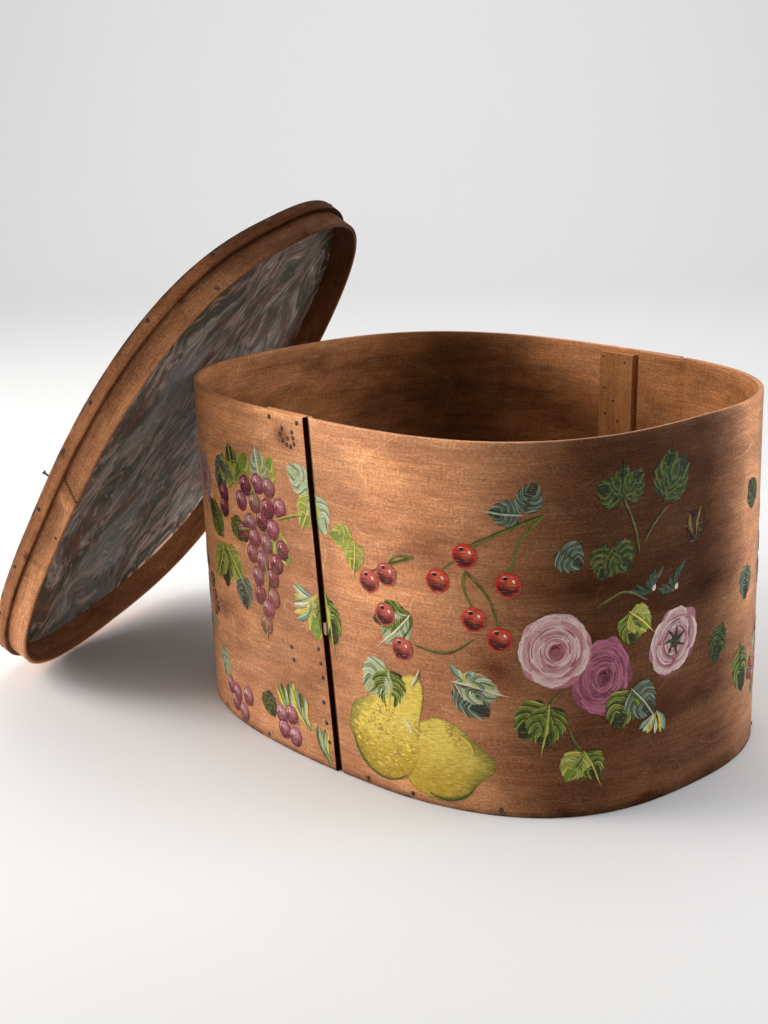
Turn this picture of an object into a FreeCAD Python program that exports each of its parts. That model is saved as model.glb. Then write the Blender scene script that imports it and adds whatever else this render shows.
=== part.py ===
import FreeCAD, Part
import math
import os

# Oval bentwood hat box with its lid leaning open against the left end.
# Millimetres. +Z up, X along the box, origin at the centre of the underside.

V = FreeCAD.Vector

# Box wall: a rounded oval, a little wider at the top and longer at the foot.
HEIGHT = 269.0
TOP_OVAL = (220.0, 180.0, 2.81)      # half length, half width, roundness power
FOOT_OVAL = (228.5, 173.0, 2.64)
BOARD = 4.0                          # thickness of the bent boards
RECESS = 1.2                         # right board sits this far inside the left one's face
JOGGLE = 2.4                         # degrees over which the right board steps inward
GLUE = 0.2                           # gap between lapped faces
FRONT_LAP = (-98.0, -83.1)           # inner end, outer end (polar degrees)
FRONT_MIDDLE = -91.0
SEAM_LEAN = 2.5                      # the front lap leans by this much at foot and rim
REAR_LAP = (68.0, 80.7)              # outer end, inner end

FLOOR = 9.0
BATTEN = (82.2, 93.4)                # upright batten inside the rear wall (polar degrees)
BATTEN_THICK = 6.0
BATTEN_TOP = 265.0
BATTEN_CHAMFER = 3.0

# Lid: local Z runs from the open lip (0) to the outside of the top board.
LID_OVAL = (222.4, 182.4, 2.81)      # inner face of the hoop
HOOP_THICK = 3.5
LID_DEPTH = 28.0
TRIM_THICK = 4.0
TRIM_WIDTH = 11.0
LID_BOARD = 5.5
LINING = 0.4
LINING_INSET = 2.0
SCARF_ANGLE = -76.5                  # where the hoop's own ends meet
SCARF_LEAN = 30.0                    # slant of that joint across the hoop

# Lid at rest: lower end on the floor, lining against the rim of the box.
LID_CENTRE = V(-232.3, -102.9, 191.0)
LID_LONG = V(0.569, 0.082, 0.819)
LID_OUT = V(-0.747, -0.366, 0.555)

NAIL_SHANK = 0.8
NAIL_HEAD = 1.8
HEAD_PROUD = 0.5


def smooth(x):
    x = min(max(x, 0.0), 1.0)
    return x * x * (3.0 - 2.0 * x)


def oval_point(oval, angle):
    a, b, n = oval
    c, s = math.cos(math.radians(angle)), math.sin(math.radians(angle))
    r = (abs(c / a) ** n + abs(s / b) ** n) ** (-1.0 / n)
    return V(r * c, r * s, 0)


def oval_normal(oval, angle):
    step = oval_point(oval, angle + 0.05) - oval_point(oval, angle - 0.05)
    return V(step.y, -step.x, 0).normalize()


def offset_point(oval, angle, offset, z):
    p = oval_point(oval, angle) + oval_normal(oval, angle) * offset
    return V(p.x, p.y, z)


def wall_point(angle, z, offset=0.0):
    """Point on the sloping box wall, pushed out by offset; the boards lean near the front lap."""
    near = abs((angle - FRONT_MIDDLE + 180.0) % 360.0 - 180.0)
    lean = SEAM_LEAN * (1.0 - smooth((near - 10.0) / 25.0))
    low = offset_point(FOOT_OVAL, angle + lean, offset, 0)
    high = offset_point(TOP_OVAL, angle - lean, offset, HEIGHT)
    return low + (high - low) * (z / HEIGHT)


def spline(points, params):
    curve = Part.BSplineCurve()
    curve.interpolate(Points=points, Parameters=params)
    return curve.toShape()


def strip_wire(point, angles, outer, inner, z):
    outs = [point(a, z, outer(a)) for a in angles]
    ins = [point(a, z, inner(a)) for a in angles]
    params = [float(a) for a in angles]
    edges = [spline(outs, params), Part.makeLine(outs[-1], ins[-1]),
             spline(ins, params), Part.makeLine(ins[0], outs[0])]
    return Part.Wire(Part.__sortEdges__(edges))


def strip(point, angles, outer, inner, z0, z1):
    """Bent board between two offsets of the wall, over a run of angles."""
    low = strip_wire(point, angles, outer, inner, z0)
    high = strip_wire(point, angles, outer, inner, z1)
    return Part.makeLoft([low, high], True, True)


def run(start, end, step=2.5, fine=()):
    """Angles from start to end, closer together near each fine angle."""
    angles = {start, end}
    count = int((end - start) / step)
    angles.update(start + (end - start) * i / count for i in range(count))
    for centre in fine:
        angles.update(centre + JOGGLE * 0.25 * k for k in range(-3, 8))
    return sorted(a for a in angles if start <= a <= end)


def right_outer(angle):
    """Outer face of the right board: nested under the left board at both laps."""
    nested = -(BOARD + GLUE)
    front = smooth((angle - FRONT_LAP[1]) / JOGGLE)
    rear = smooth((REAR_LAP[0] - angle) / JOGGLE)
    return nested + (-RECESS - nested) * min(front, rear)


def left_board():
    angles = run(REAR_LAP[0], 360.0 + FRONT_LAP[1])
    return strip(wall_point, angles, lambda a: 0.0, lambda a: -BOARD, 0.0, HEIGHT)


def right_board():
    start, end = FRONT_LAP[0], REAR_LAP[1]
    angles = run(start, end, fine=(FRONT_LAP[1], REAR_LAP[0] - JOGGLE))
    return strip(wall_point, angles, right_outer, lambda a: right_outer(a) - BOARD, 0.0, HEIGHT)


def closed_wire(point, offset, z, step=3.0):
    angles = [FRONT_LAP[0] + step * i for i in range(int(360 / step))]
    curve = Part.BSplineCurve()
    curve.interpolate(Points=[point(a, z, offset(a)) for a in angles], PeriodicFlag=True)
    return Part.Wire([curve.toShape()])


def floor_board():
    """Oval bottom, held inside the wall and cut to clear the lapped ends."""
    deepest = -(2 * BOARD + 2 * GLUE)

    def edge(angle):
        near = min(abs(angle - c) for c in (-91.0, 269.0, 74.5))
        return deepest + (BOARD - RECESS) * smooth((near - 12.0) / 8.0)
    low = closed_wire(wall_point, edge, 0.0)
    high = closed_wire(wall_point, edge, FLOOR)
    return Part.makeLoft([low, high], True, True)


def rear_batten():
    angles = run(BATTEN[0], BATTEN[1], 1.5)
    face = -(BOARD + GLUE)
    body = strip(wall_point, angles, lambda a: face, lambda a: face - BATTEN_THICK,
                 FLOOR + 0.3, BATTEN_TOP)
    inner_top = wall_point(sum(BATTEN) / 2, BATTEN_TOP, face - BATTEN_THICK)
    bevel = Part.makeBox(60, 10, 10, V(-30, -5, -5))
    bevel.rotate(V(0, 0, 0), V(1, 0, 0), 45)
    reach = 5 * math.sqrt(2) - BATTEN_CHAMFER / math.sqrt(2)
    bevel.translate(inner_top + V(0, -reach / math.sqrt(2), reach / math.sqrt(2)))
    return body.cut(bevel)


def nail(head_at, inward, length):
    """Round nail: low domed head on the surface, shank driven inward."""
    way = V(inward).normalize()
    top = head_at - way * HEAD_PROUD
    shank = Part.makeCylinder(NAIL_SHANK, length, top, way)
    head = Part.makeCone(NAIL_HEAD * 0.6, NAIL_HEAD, HEAD_PROUD * 0.6, top, way)
    brim = Part.makeCylinder(NAIL_HEAD, HEAD_PROUD * 0.6, top + way * HEAD_PROUD * 0.6, way)
    return shank.fuse([head, brim]).removeSplitter()


def wall_nails(spots, length, face):
    """Nails through the wall from outside: spots are (polar angle, height)."""
    nails = []
    for angle, z in spots:
        inward = oval_normal(TOP_OVAL, angle) * -1.0
        nails.append(nail(wall_point(angle, z, face(angle)), inward, length))
    return Part.makeCompound(nails)


def front_lap_nails():
    rows = (22, 37, 53, 73, 84, 95, 152, 172, 264)
    spots = [(-84.7 - 0.3 * (i % 3), z) for i, z in enumerate(rows)]
    spots += [(-95.9, 88.0), (-95.5, 78.0), (-95.4, 264.0)]
    return wall_nails(spots, 8.3, lambda a: 0.0)


def repair_nails():
    """Close group of nails near the rim that holds the inner board's end."""
    spots = [(-91.0, 257.5), (-91.9, 253.0), (-91.0, 248.6), (-89.7, 246.2), (-88.3, 245.6),
             (-87.0, 248.0), (-87.4, 256.5), (-89.2, 251.2), (-87.2, 252.3)]
    return wall_nails(spots, 8.3, lambda a: 0.0)


def seam_filler():
    """Small plug of filler in the open groove beside the front lap."""
    start = FRONT_LAP[1] + 0.15
    angles = [start + 0.17 * i for i in range(6)]
    return strip(wall_point, angles, lambda a: -0.5, lambda a: right_outer(a) + 0.1, 108.0, 117.0)


def rear_lap_nails():
    spots = [(69.4 + 0.5 * (i % 2), 22.0 + 28.0 * i) for i in range(9)]
    return wall_nails(spots, 8.3, lambda a: 0.0)


def batten_nails():
    spots = [(92.3, 261.0), (84.8, 258.0), (91.7, 234.0), (88.4, 224.0), (91.1, 212.0),
             (86.6, 207.0), (84.8, 120.0), (91.4, 112.0), (84.6, 40.0), (91.8, 46.0)]
    return wall_nails(spots, 11.3, lambda a: 0.0)


def floor_nails():
    """Nails through the foot of the wall into the edge of the floor board."""
    angles = [-172, -150, -128, -109, -72, -58, -40, -22, -10, 4, 28, 48, 102, 124, 146, 166]
    face = lambda a: right_outer(a) if FRONT_LAP[1] < a < REAR_LAP[0] else 0.0
    return wall_nails([(a, 4.6) for a in angles], 13.0, face)


def lid_point(angle, z, offset=0.0):
    return offset_point(LID_OVAL, angle, offset, z)


def place_lid(shape):
    """Move a shape from the lid's own frame to where the lid leans."""
    x = V(LID_LONG).normalize()
    y = LID_OUT.cross(x).normalize()
    z = x.cross(y)
    shape.Placement = FreeCAD.Placement(FreeCAD.Matrix(
        x.x, y.x, z.x, LID_CENTRE.x,
        x.y, y.y, z.y, LID_CENTRE.y,
        x.z, y.z, z.z, LID_CENTRE.z,
        0, 0, 0, 1))
    return shape


def lid_ring(inner, outer, z0, z1):
    """Closed hoop between two offsets of the lid oval."""
    walls = []
    for offset in (outer, inner):
        wires = [closed_wire(lid_point, lambda a: offset, z) for z in (z0, z1)]
        walls.append(Part.makeLoft(wires, True, True))
    return walls[0].cut(walls[1])


def lid_rim_hoop():
    """Bent hoop with the shallow slanting step where its end laps over."""
    hoop = lid_ring(0.0, HOOP_THICK, 0.0, LID_DEPTH)
    middle = lid_point(SCARF_ANGLE, (LID_DEPTH - TRIM_WIDTH) / 2, HOOP_THICK)
    step = Part.makeBox(0.8, 1.4, 46.0, V(-0.4, -0.7, -23.0))
    normal = oval_normal(LID_OVAL, SCARF_ANGLE)
    step.rotate(V(0, 0, 0), V(0, 0, 1), math.degrees(math.atan2(normal.y, normal.x)))
    step.rotate(V(0, 0, 0), normal, -SCARF_LEAN)
    step.translate(middle)
    return hoop.cut(step)


def lid_trim_band():
    low = LID_DEPTH - TRIM_WIDTH
    return lid_ring(HOOP_THICK + GLUE, HOOP_THICK + GLUE + TRIM_THICK, low, LID_DEPTH)


def lid_plate(inset, z0, z1):
    wires = [closed_wire(lid_point, lambda a: -inset, z) for z in (z0, z1)]
    return Part.makeLoft(wires, True, True)


def lid_top_board():
    return lid_plate(GLUE, LID_DEPTH - LID_BOARD, LID_DEPTH)


def lid_lining():
    top = LID_DEPTH - LID_BOARD - 0.1
    return lid_plate(LINING_INSET, top - LINING, top)


def lid_nails(spots, face, length):
    """Nails driven inward through the lid's side: (angle, local height)."""
    nails = []
    for angle, z in spots:
        inward = oval_normal(LID_OVAL, angle) * -1.0
        nails.append(nail(lid_point(angle, z, face), inward, length))
    return Part.makeCompound(nails)


def lid_trim_nails():
    angles = [-176, -158, -140, -123, -106, -86, -68, -56, -38, -20, -2,
              12, 28, 46, 64, 82, 100, 120, 138, 156, 172]
    spots = [(a, LID_DEPTH - 2.4 - 0.6 * (i % 3)) for i, a in enumerate(angles)]
    return lid_nails(spots, HOOP_THICK + GLUE + TRIM_THICK, 12.0)


def lid_rim_nails():
    spots = [(-80.7, 3.5), (-91.0, 3.5), (-25.0, 4.0), (60.0, 6.0), (128.0, 5.0)]
    return lid_nails(spots, HOOP_THICK, 4.0)


def lid_loose_nail():
    """Nail worked half out of the trim band's edge, standing off the lid's face."""
    middle = HOOP_THICK + GLUE + TRIM_THICK / 2
    return nail(lid_point(SCARF_ANGLE, LID_DEPTH + 5.0, middle), V(0, 0, -1), 12.0)


BOX_PARTS = (left_board, right_board, floor_board, rear_batten, seam_filler,
             front_lap_nails, repair_nails, rear_lap_nails, batten_nails, floor_nails)
LID_PARTS = (lid_top_board, lid_rim_hoop, lid_trim_band, lid_lining, lid_trim_nails,
             lid_rim_nails, lid_loose_nail)

os.makedirs("parts", exist_ok=True)
for build in BOX_PARTS:
    build().exportStep("parts/" + build.__name__ + ".step")
for build in LID_PARTS:
    place_lid(build()).exportStep("parts/" + build.__name__ + ".step")
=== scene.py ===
import bmesh
import bpy
import math
import numpy as np
from mathutils import Matrix, Vector


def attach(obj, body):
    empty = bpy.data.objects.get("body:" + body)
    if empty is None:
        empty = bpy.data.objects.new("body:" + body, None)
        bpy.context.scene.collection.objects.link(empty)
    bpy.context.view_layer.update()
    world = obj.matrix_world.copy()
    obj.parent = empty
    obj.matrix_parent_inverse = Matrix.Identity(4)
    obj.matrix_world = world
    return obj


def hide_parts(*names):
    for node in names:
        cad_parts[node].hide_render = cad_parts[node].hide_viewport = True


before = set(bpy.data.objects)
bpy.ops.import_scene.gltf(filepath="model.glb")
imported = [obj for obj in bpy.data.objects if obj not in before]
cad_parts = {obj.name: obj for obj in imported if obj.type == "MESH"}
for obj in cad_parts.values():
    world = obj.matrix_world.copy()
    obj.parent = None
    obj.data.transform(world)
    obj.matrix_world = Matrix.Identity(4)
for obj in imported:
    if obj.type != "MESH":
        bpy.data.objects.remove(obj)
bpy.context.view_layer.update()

# ---------------------------------------------------------------- the box's own shape, in metres
HEIGHT = 0.269
# ovals: half the length, half the width, and the power that squares the curve a little
TOP_OVAL = (0.220, 0.180, 2.81)
FOOT_OVAL = (0.2285, 0.173, 2.64)
MID_OVAL = (0.22425, 0.1765, 2.725)
BOARD = 0.004
RECESS = 0.0012
GLUE = 0.0002
JOGGLE = 2.4
FRONT_LAP = (-98.0, -83.1)
FRONT_MIDDLE = -91.0
SEAM_LEAN = 2.5
REAR_LAP = (68.0, 80.7)

LID_OVAL = (0.2224, 0.1824, 2.81)
HOOP, TRIM = 0.0035, 0.004
LID_DEPTH, TRIM_WIDTH, LID_BOARD = 0.028, 0.011, 0.0055
LID_CENTRE = Vector((-0.2323, -0.1029, 0.1910))
LID_LONG = Vector((0.569, 0.082, 0.819)).normalized()
LID_SIDE = Vector((-0.747, -0.366, 0.555)).cross(LID_LONG).normalized()
LID_OUT = LID_LONG.cross(LID_SIDE)


def smooth(x):
    x = np.clip(x, 0.0, 1.0)
    return x * x * (3.0 - 2.0 * x)


def oval_xy(oval, deg, off):
    """Point and outward normal on a rounded oval, offset by off."""
    a, b, n = oval

    def at(d):
        c, s = np.cos(np.radians(d)), np.sin(np.radians(d))
        r = (np.abs(c / a) ** n + np.abs(s / b) ** n) ** (-1.0 / n)
        return r * c, r * s
    x, y = at(deg)
    x0, y0 = at(deg - 0.05)
    x1, y1 = at(deg + 0.05)
    dx, dy = x1 - x0, y1 - y0
    k = np.hypot(dx, dy)
    return x + dy / k * off, y - dx / k * off


def arc_table(oval, start):
    d = np.linspace(start, start + 360.0, 7201)
    x, y = oval_xy(oval, d, 0.0)
    s = np.concatenate([[0.0], np.cumsum(np.hypot(np.diff(x), np.diff(y)))])
    return d, s


WALL_DEG, WALL_S = arc_table(MID_OVAL, -270.0)
WALL_S = WALL_S - np.interp(-90.0, WALL_DEG, WALL_S)
ROUND = WALL_S[-1] - WALL_S[0]
LID_DEG, LID_S = arc_table(LID_OVAL, -190.0)


def deg_of(s):
    """Polar angle of a distance along the wall from the middle of the front."""
    s = (np.asarray(s, float) - WALL_S[0]) % ROUND + WALL_S[0]
    return np.interp(s, WALL_S, WALL_DEG)


def wobble(deg, z):
    """Slow unevenness of old bent boards."""
    t = np.radians(deg)
    return 0.00035 * (np.sin(5 * t + 1.3 + 6 * z) * np.cos(17 * z + 2 * t)
                      + 0.6 * np.sin(11 * t + 0.4 - 9 * z))


def seam_lean(deg):
    near = np.abs((deg - FRONT_MIDDLE + 180.0) % 360.0 - 180.0)
    return SEAM_LEAN * (1.0 - smooth((near - 10.0) / 25.0))


def wall(deg, z, off):
    """Point on the sloping wall at a polar angle and height, pushed out by off."""
    deg, z, off = np.broadcast_arrays(*(np.asarray(v, float) for v in (deg, z, off)))
    off = off + wobble(deg, z)
    lean = seam_lean(deg)
    x0, y0 = oval_xy(FOOT_OVAL, deg + lean, off)
    x1, y1 = oval_xy(TOP_OVAL, deg - lean, off)
    k = z / HEIGHT
    return np.stack([x0 + (x1 - x0) * k, y0 + (y1 - y0) * k, z], -1)


def right_outer(deg):
    nested = -(BOARD + GLUE)
    k = np.minimum(smooth((deg - FRONT_LAP[1]) / JOGGLE), smooth((REAR_LAP[0] - deg) / JOGGLE))
    return nested + (-RECESS - nested) * k


def outside(deg):
    """Offset of whichever board shows on the outside, for paint and nails."""
    d = (np.asarray(deg, float) + 270.0) % 360.0 - 270.0
    shown = (d > FRONT_LAP[1]) & (d < REAR_LAP[0])
    return np.where(shown, right_outer(d), 0.0)


def lid_place(p):
    """From the lid's own frame to where it leans."""
    m = np.array([list(LID_LONG), list(LID_SIDE), list(LID_OUT)])
    return np.asarray(p, float) @ m + np.array(list(LID_CENTRE))


def lid_point(deg, z, off):
    deg, z, off = np.broadcast_arrays(*(np.asarray(v, float) for v in (deg, z, off)))
    t = np.radians(deg)
    off = off + 0.0003 * np.sin(7 * t + 0.5) * np.cos(3 * t)
    x, y = oval_xy(LID_OVAL, deg, off)
    return lid_place(np.stack([x, y, z], -1))


# ---------------------------------------------------------------- mesh helpers
def rgb(r, g, b):
    """A colour typed as it looks on a screen, made linear."""
    return np.array([v / 12.92 if v <= 0.04 else ((v + 0.055) / 1.055) ** 2.4 for v in (r, g, b)])


def fbm(x, y, seed, octaves=4):
    """Cheap smooth noise in -1..1 from sums of turned sine waves."""
    r = np.random.default_rng(seed)
    total, amp, freq = 0.0, 1.0, 1.0
    for _ in range(octaves):
        for _ in range(3):
            a, p, q = r.uniform(0, 2 * math.pi, 3)
            total = total + amp / 3 * np.sin(freq * (x * math.cos(a) + y * math.sin(a)) * 2.1
                                             + p + 1.7 * np.sin(freq * y * 0.9 + q))
        amp *= 0.55
        freq *= 1.93
    return total / 1.6


class Build:
    """Collects grids of points, with colours and flat coordinates, into one mesh."""

    def __init__(self):
        self.v, self.f, self.c, self.uv, self.n = [], [], [], [], 0

    def grid(self, pts, uv, col=None):
        nu, nv = pts.shape[:2]
        idx = np.arange(nu * nv).reshape(nu, nv) + self.n
        a, b, c, d = idx[:-1, :-1], idx[1:, :-1], idx[1:, 1:], idx[:-1, 1:]
        self.f.append(np.stack([a, b, c, d], -1).reshape(-1, 4))
        q = [uv[:-1, :-1], uv[1:, :-1], uv[1:, 1:], uv[:-1, 1:]]
        self.uv.append(np.stack(q, 2).reshape(-1, 2))
        self.v.append(pts.reshape(-1, 3))
        col = np.ones((nu, nv, 3)) if col is None else np.broadcast_to(col, (nu, nv, 3))
        self.c.append(col.reshape(-1, 3))
        self.n += nu * nv
        return idx

    def obj(self, name, material, body, slot, replaces=(), caps=(), merge=None, smooth_deg=40):
        me = bpy.data.meshes.new(name)
        v, f = np.concatenate(self.v), np.concatenate(self.f)
        faces = [tuple(int(i) for i in q) for q in f] + [tuple(int(i) for i in c) for c in caps]
        me.from_pydata([tuple(p) for p in v.tolist()], [], faces)
        layer = me.uv_layers.new(name="flat")
        uv = np.concatenate(self.uv)
        if caps:
            uv = np.concatenate([uv, np.zeros((sum(len(c) for c in caps), 2))])
        layer.data.foreach_set("uv", uv.astype(np.float32).ravel())
        col = me.color_attributes.new(name="tint", type="FLOAT_COLOR", domain="POINT")
        rgba = np.concatenate([np.concatenate(self.c), np.ones((len(v), 1))], 1)
        col.data.foreach_set("color", rgba.astype(np.float32).ravel())
        ob = bpy.data.objects.new(name, me)
        bpy.context.scene.collection.objects.link(ob)
        finish_mesh(ob, merge, smooth_deg)
        me.materials.append(material)
        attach(ob, body)
        if replaces:
            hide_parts(*replaces)
        return ob


def finish_mesh(ob, merge, smooth_deg):
    bm = bmesh.new()
    bm.from_mesh(ob.data)
    if merge:
        bmesh.ops.remove_doubles(bm, verts=bm.verts, dist=merge)
    bmesh.ops.recalc_face_normals(bm, faces=bm.faces)
    limit = math.radians(smooth_deg)
    for e in bm.edges:
        if len(e.link_faces) == 2:
            e.smooth = e.calc_face_angle(0.0) < limit
    for f in bm.faces:
        f.smooth = True
    bm.to_mesh(ob.data)
    bm.free()


def board_profile(thick, z0, z1, r, nz):
    """Closed outline of a board's cross-section: offsets from its outer face, and heights."""
    zs = np.linspace(z0 + r, z1 - r, nz)
    arc = np.radians([22.5, 45.0, 67.5])
    pts = [(0.0, z) for z in zs]
    pts += [(-r + r * math.cos(a), z1 - r + r * math.sin(a)) for a in arc]
    pts += [(-r, z1), (-thick + r, z1)]
    pts += [(-thick + r - r * math.sin(a), z1 - r + r * math.cos(a)) for a in arc]
    pts += [(-thick, z) for z in zs[::-1]]
    pts += [(-thick + r - r * math.cos(a), z0 + r - r * math.sin(a)) for a in arc]
    pts += [(-thick + r, z0), (-r, z0)]
    pts += [(-r + r * math.sin(a), z0 + r - r * math.cos(a)) for a in arc]
    return np.array(pts)


def profile_v(prof):
    """Distance round the outline, used as the flat coordinate across a board."""
    step = np.hypot(*np.diff(np.concatenate([prof, prof[:1]]), axis=0).T)
    return np.concatenate([[0.0], np.cumsum(step)])


def sweep(point, degs, s, prof, base, closed=False, tint=None, dark_ends=False):
    """Board or hoop: a cross-section carried along the oval."""
    b = Build()
    nu, nv = len(degs), len(prof)
    deg, z = np.meshgrid(degs, prof[:, 1], indexing="ij")
    depth = np.broadcast_to(prof[None, :, 0], deg.shape)
    off = base(deg, z) + depth
    pts = point(deg, z, off)
    v = profile_v(prof)
    uvs = np.stack(np.broadcast_arrays(s[:, None], v[None, :]), -1)
    col = np.ones((nu, nv, 3)) if tint is None else tint(s[:, None] + 0 * z, z, depth, deg)
    if dark_ends:
        col[[0, -1]] = END_GRAIN_AND_GAP_SHADE
    b.v, b.c, b.n = [pts.reshape(-1, 3)], [col.reshape(-1, 3)], nu * nv
    idx = np.arange(nu * nv).reshape(nu, nv)
    idx = np.concatenate([idx, idx[:, :1]], 1)
    if closed:
        idx = np.concatenate([idx, idx[:1]], 0)
        uvs = np.concatenate([uvs, uvs[-1:] + [[[0.004, 0.0]]]], 0)
    q = (idx[:-1, :-1], idx[1:, :-1], idx[1:, 1:], idx[:-1, 1:])
    b.f = [np.stack(q, -1).reshape(-1, 4)]
    u4 = (uvs[:-1, :-1], uvs[1:, :-1], uvs[1:, 1:], uvs[:-1, 1:])
    b.uv = [np.stack(u4, 2).reshape(-1, 2)]
    caps = [] if closed else [list(range(nv))[::-1], list(range((nu - 1) * nv, nu * nv))]
    return b, caps


# near-black board ends: dark end grain with painted shade of the open seam gap
END_GRAIN_AND_GAP_SHADE = (0.03, 0.026, 0.024)


# ---------------------------------------------------------------- materials
class Mat:
    """Small wrapper for building node materials."""

    def __init__(self, name):
        self.m = bpy.data.materials.new(name)
        self.m.use_nodes = True
        self.t = self.m.node_tree
        self.t.nodes.clear()
        self.out = self.t.nodes.new("ShaderNodeOutputMaterial")
        self.bsdf = self.t.nodes.new("ShaderNodeBsdfPrincipled")
        self.link(self.bsdf.outputs[0], self.out.inputs[0])

    def link(self, a, b):
        self.t.links.new(a, b)

    def put(self, socket, value):
        if isinstance(value, bpy.types.NodeSocket):
            self.link(value, socket)
        elif hasattr(value, "__len__") and len(value) == 3 and socket.type == "RGBA":
            socket.default_value = (*value, 1.0)
        else:
            socket.default_value = value

    def flat(self, scale, at=(0, 0, 0)):
        """Flat coordinates along and across the board, in metres, scaled."""
        uv = self.t.nodes.new("ShaderNodeUVMap")
        uv.uv_map = "flat"
        return self.mapped(uv.outputs[0], scale, at)

    def solid(self, scale, at=(0, 0, 0)):
        tc = self.t.nodes.new("ShaderNodeTexCoord")
        return self.mapped(tc.outputs["Object"], scale, at)

    def mapped(self, vec, scale, at):
        mp = self.t.nodes.new("ShaderNodeMapping")
        mp.inputs["Scale"].default_value = scale
        mp.inputs["Location"].default_value = at
        self.link(vec, mp.inputs["Vector"])
        return mp.outputs[0]

    def noise(self, vec, scale=1.0, detail=4.0, rough=0.55, warp=0.0):
        n = self.t.nodes.new("ShaderNodeTexNoise")
        self.link(vec, n.inputs["Vector"])
        for k, v in (("Scale", scale), ("Detail", detail), ("Roughness", rough), ("Distortion", warp)):
            n.inputs[k].default_value = v
        return n.outputs["Fac"]

    def cells(self, vec):
        n = self.t.nodes.new("ShaderNodeTexVoronoi")
        self.link(vec, n.inputs["Vector"])
        n.inputs["Scale"].default_value = 1.0
        return n.outputs["Distance"]

    def wave(self, vec, scale, warp):
        n = self.t.nodes.new("ShaderNodeTexWave")
        n.bands_direction = "Y"
        self.link(vec, n.inputs["Vector"])
        n.inputs["Scale"].default_value = scale
        n.inputs["Distortion"].default_value = warp
        n.inputs["Detail"].default_value = 3.0
        n.inputs["Detail Scale"].default_value = 1.4
        return n.outputs["Fac"]

    def ramp(self, fac, stops):
        r = self.t.nodes.new("ShaderNodeValToRGB")
        e = r.color_ramp.elements
        while len(e) < len(stops):
            e.new(0.5)
        for el, (p, c) in zip(e, stops):
            el.position = p
            el.color = (c, c, c, 1) if not hasattr(c, "__len__") else (*c, 1)
        self.link(fac, r.inputs[0])
        return r.outputs[0]

    def over(self, color, other, mask, stops, amount):
        """Another colour laid over the first, where the mask goes through its stops."""
        return self.mix(self.math("MULTIPLY", self.ramp(mask, stops), amount), color, other)

    def mix(self, fac, a, b, mode="MIX"):
        n = self.t.nodes.new("ShaderNodeMix")
        n.data_type = "RGBA"
        n.blend_type = mode
        self.put(n.inputs["Factor"], fac)
        self.put(n.inputs["A"], a)
        self.put(n.inputs["B"], b)
        return n.outputs["Result"]

    def math(self, op, *values):
        n = self.t.nodes.new("ShaderNodeMath")
        n.operation = op
        for socket, value in zip(n.inputs, values):
            self.put(socket, value)
        return n.outputs[0]

    def tint(self):
        n = self.t.nodes.new("ShaderNodeVertexColor")
        n.layer_name = "tint"
        return n.outputs["Color"]

    def bump(self, height, strength, distance):
        n = self.t.nodes.new("ShaderNodeBump")
        n.inputs["Strength"].default_value = strength
        n.inputs["Distance"].default_value = distance
        self.link(height, n.inputs["Height"])
        return n.outputs[0]

    def finish(self, color, rough, normal=None, **more):
        self.put(self.bsdf.inputs["Base Color"], color)
        self.put(self.bsdf.inputs["Roughness"], rough)
        if normal is not None:
            self.link(normal, self.bsdf.inputs["Normal"])
        for k, v in more.items():
            self.put(self.bsdf.inputs[k.replace("_", " ")], v)
        return self.m


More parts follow.
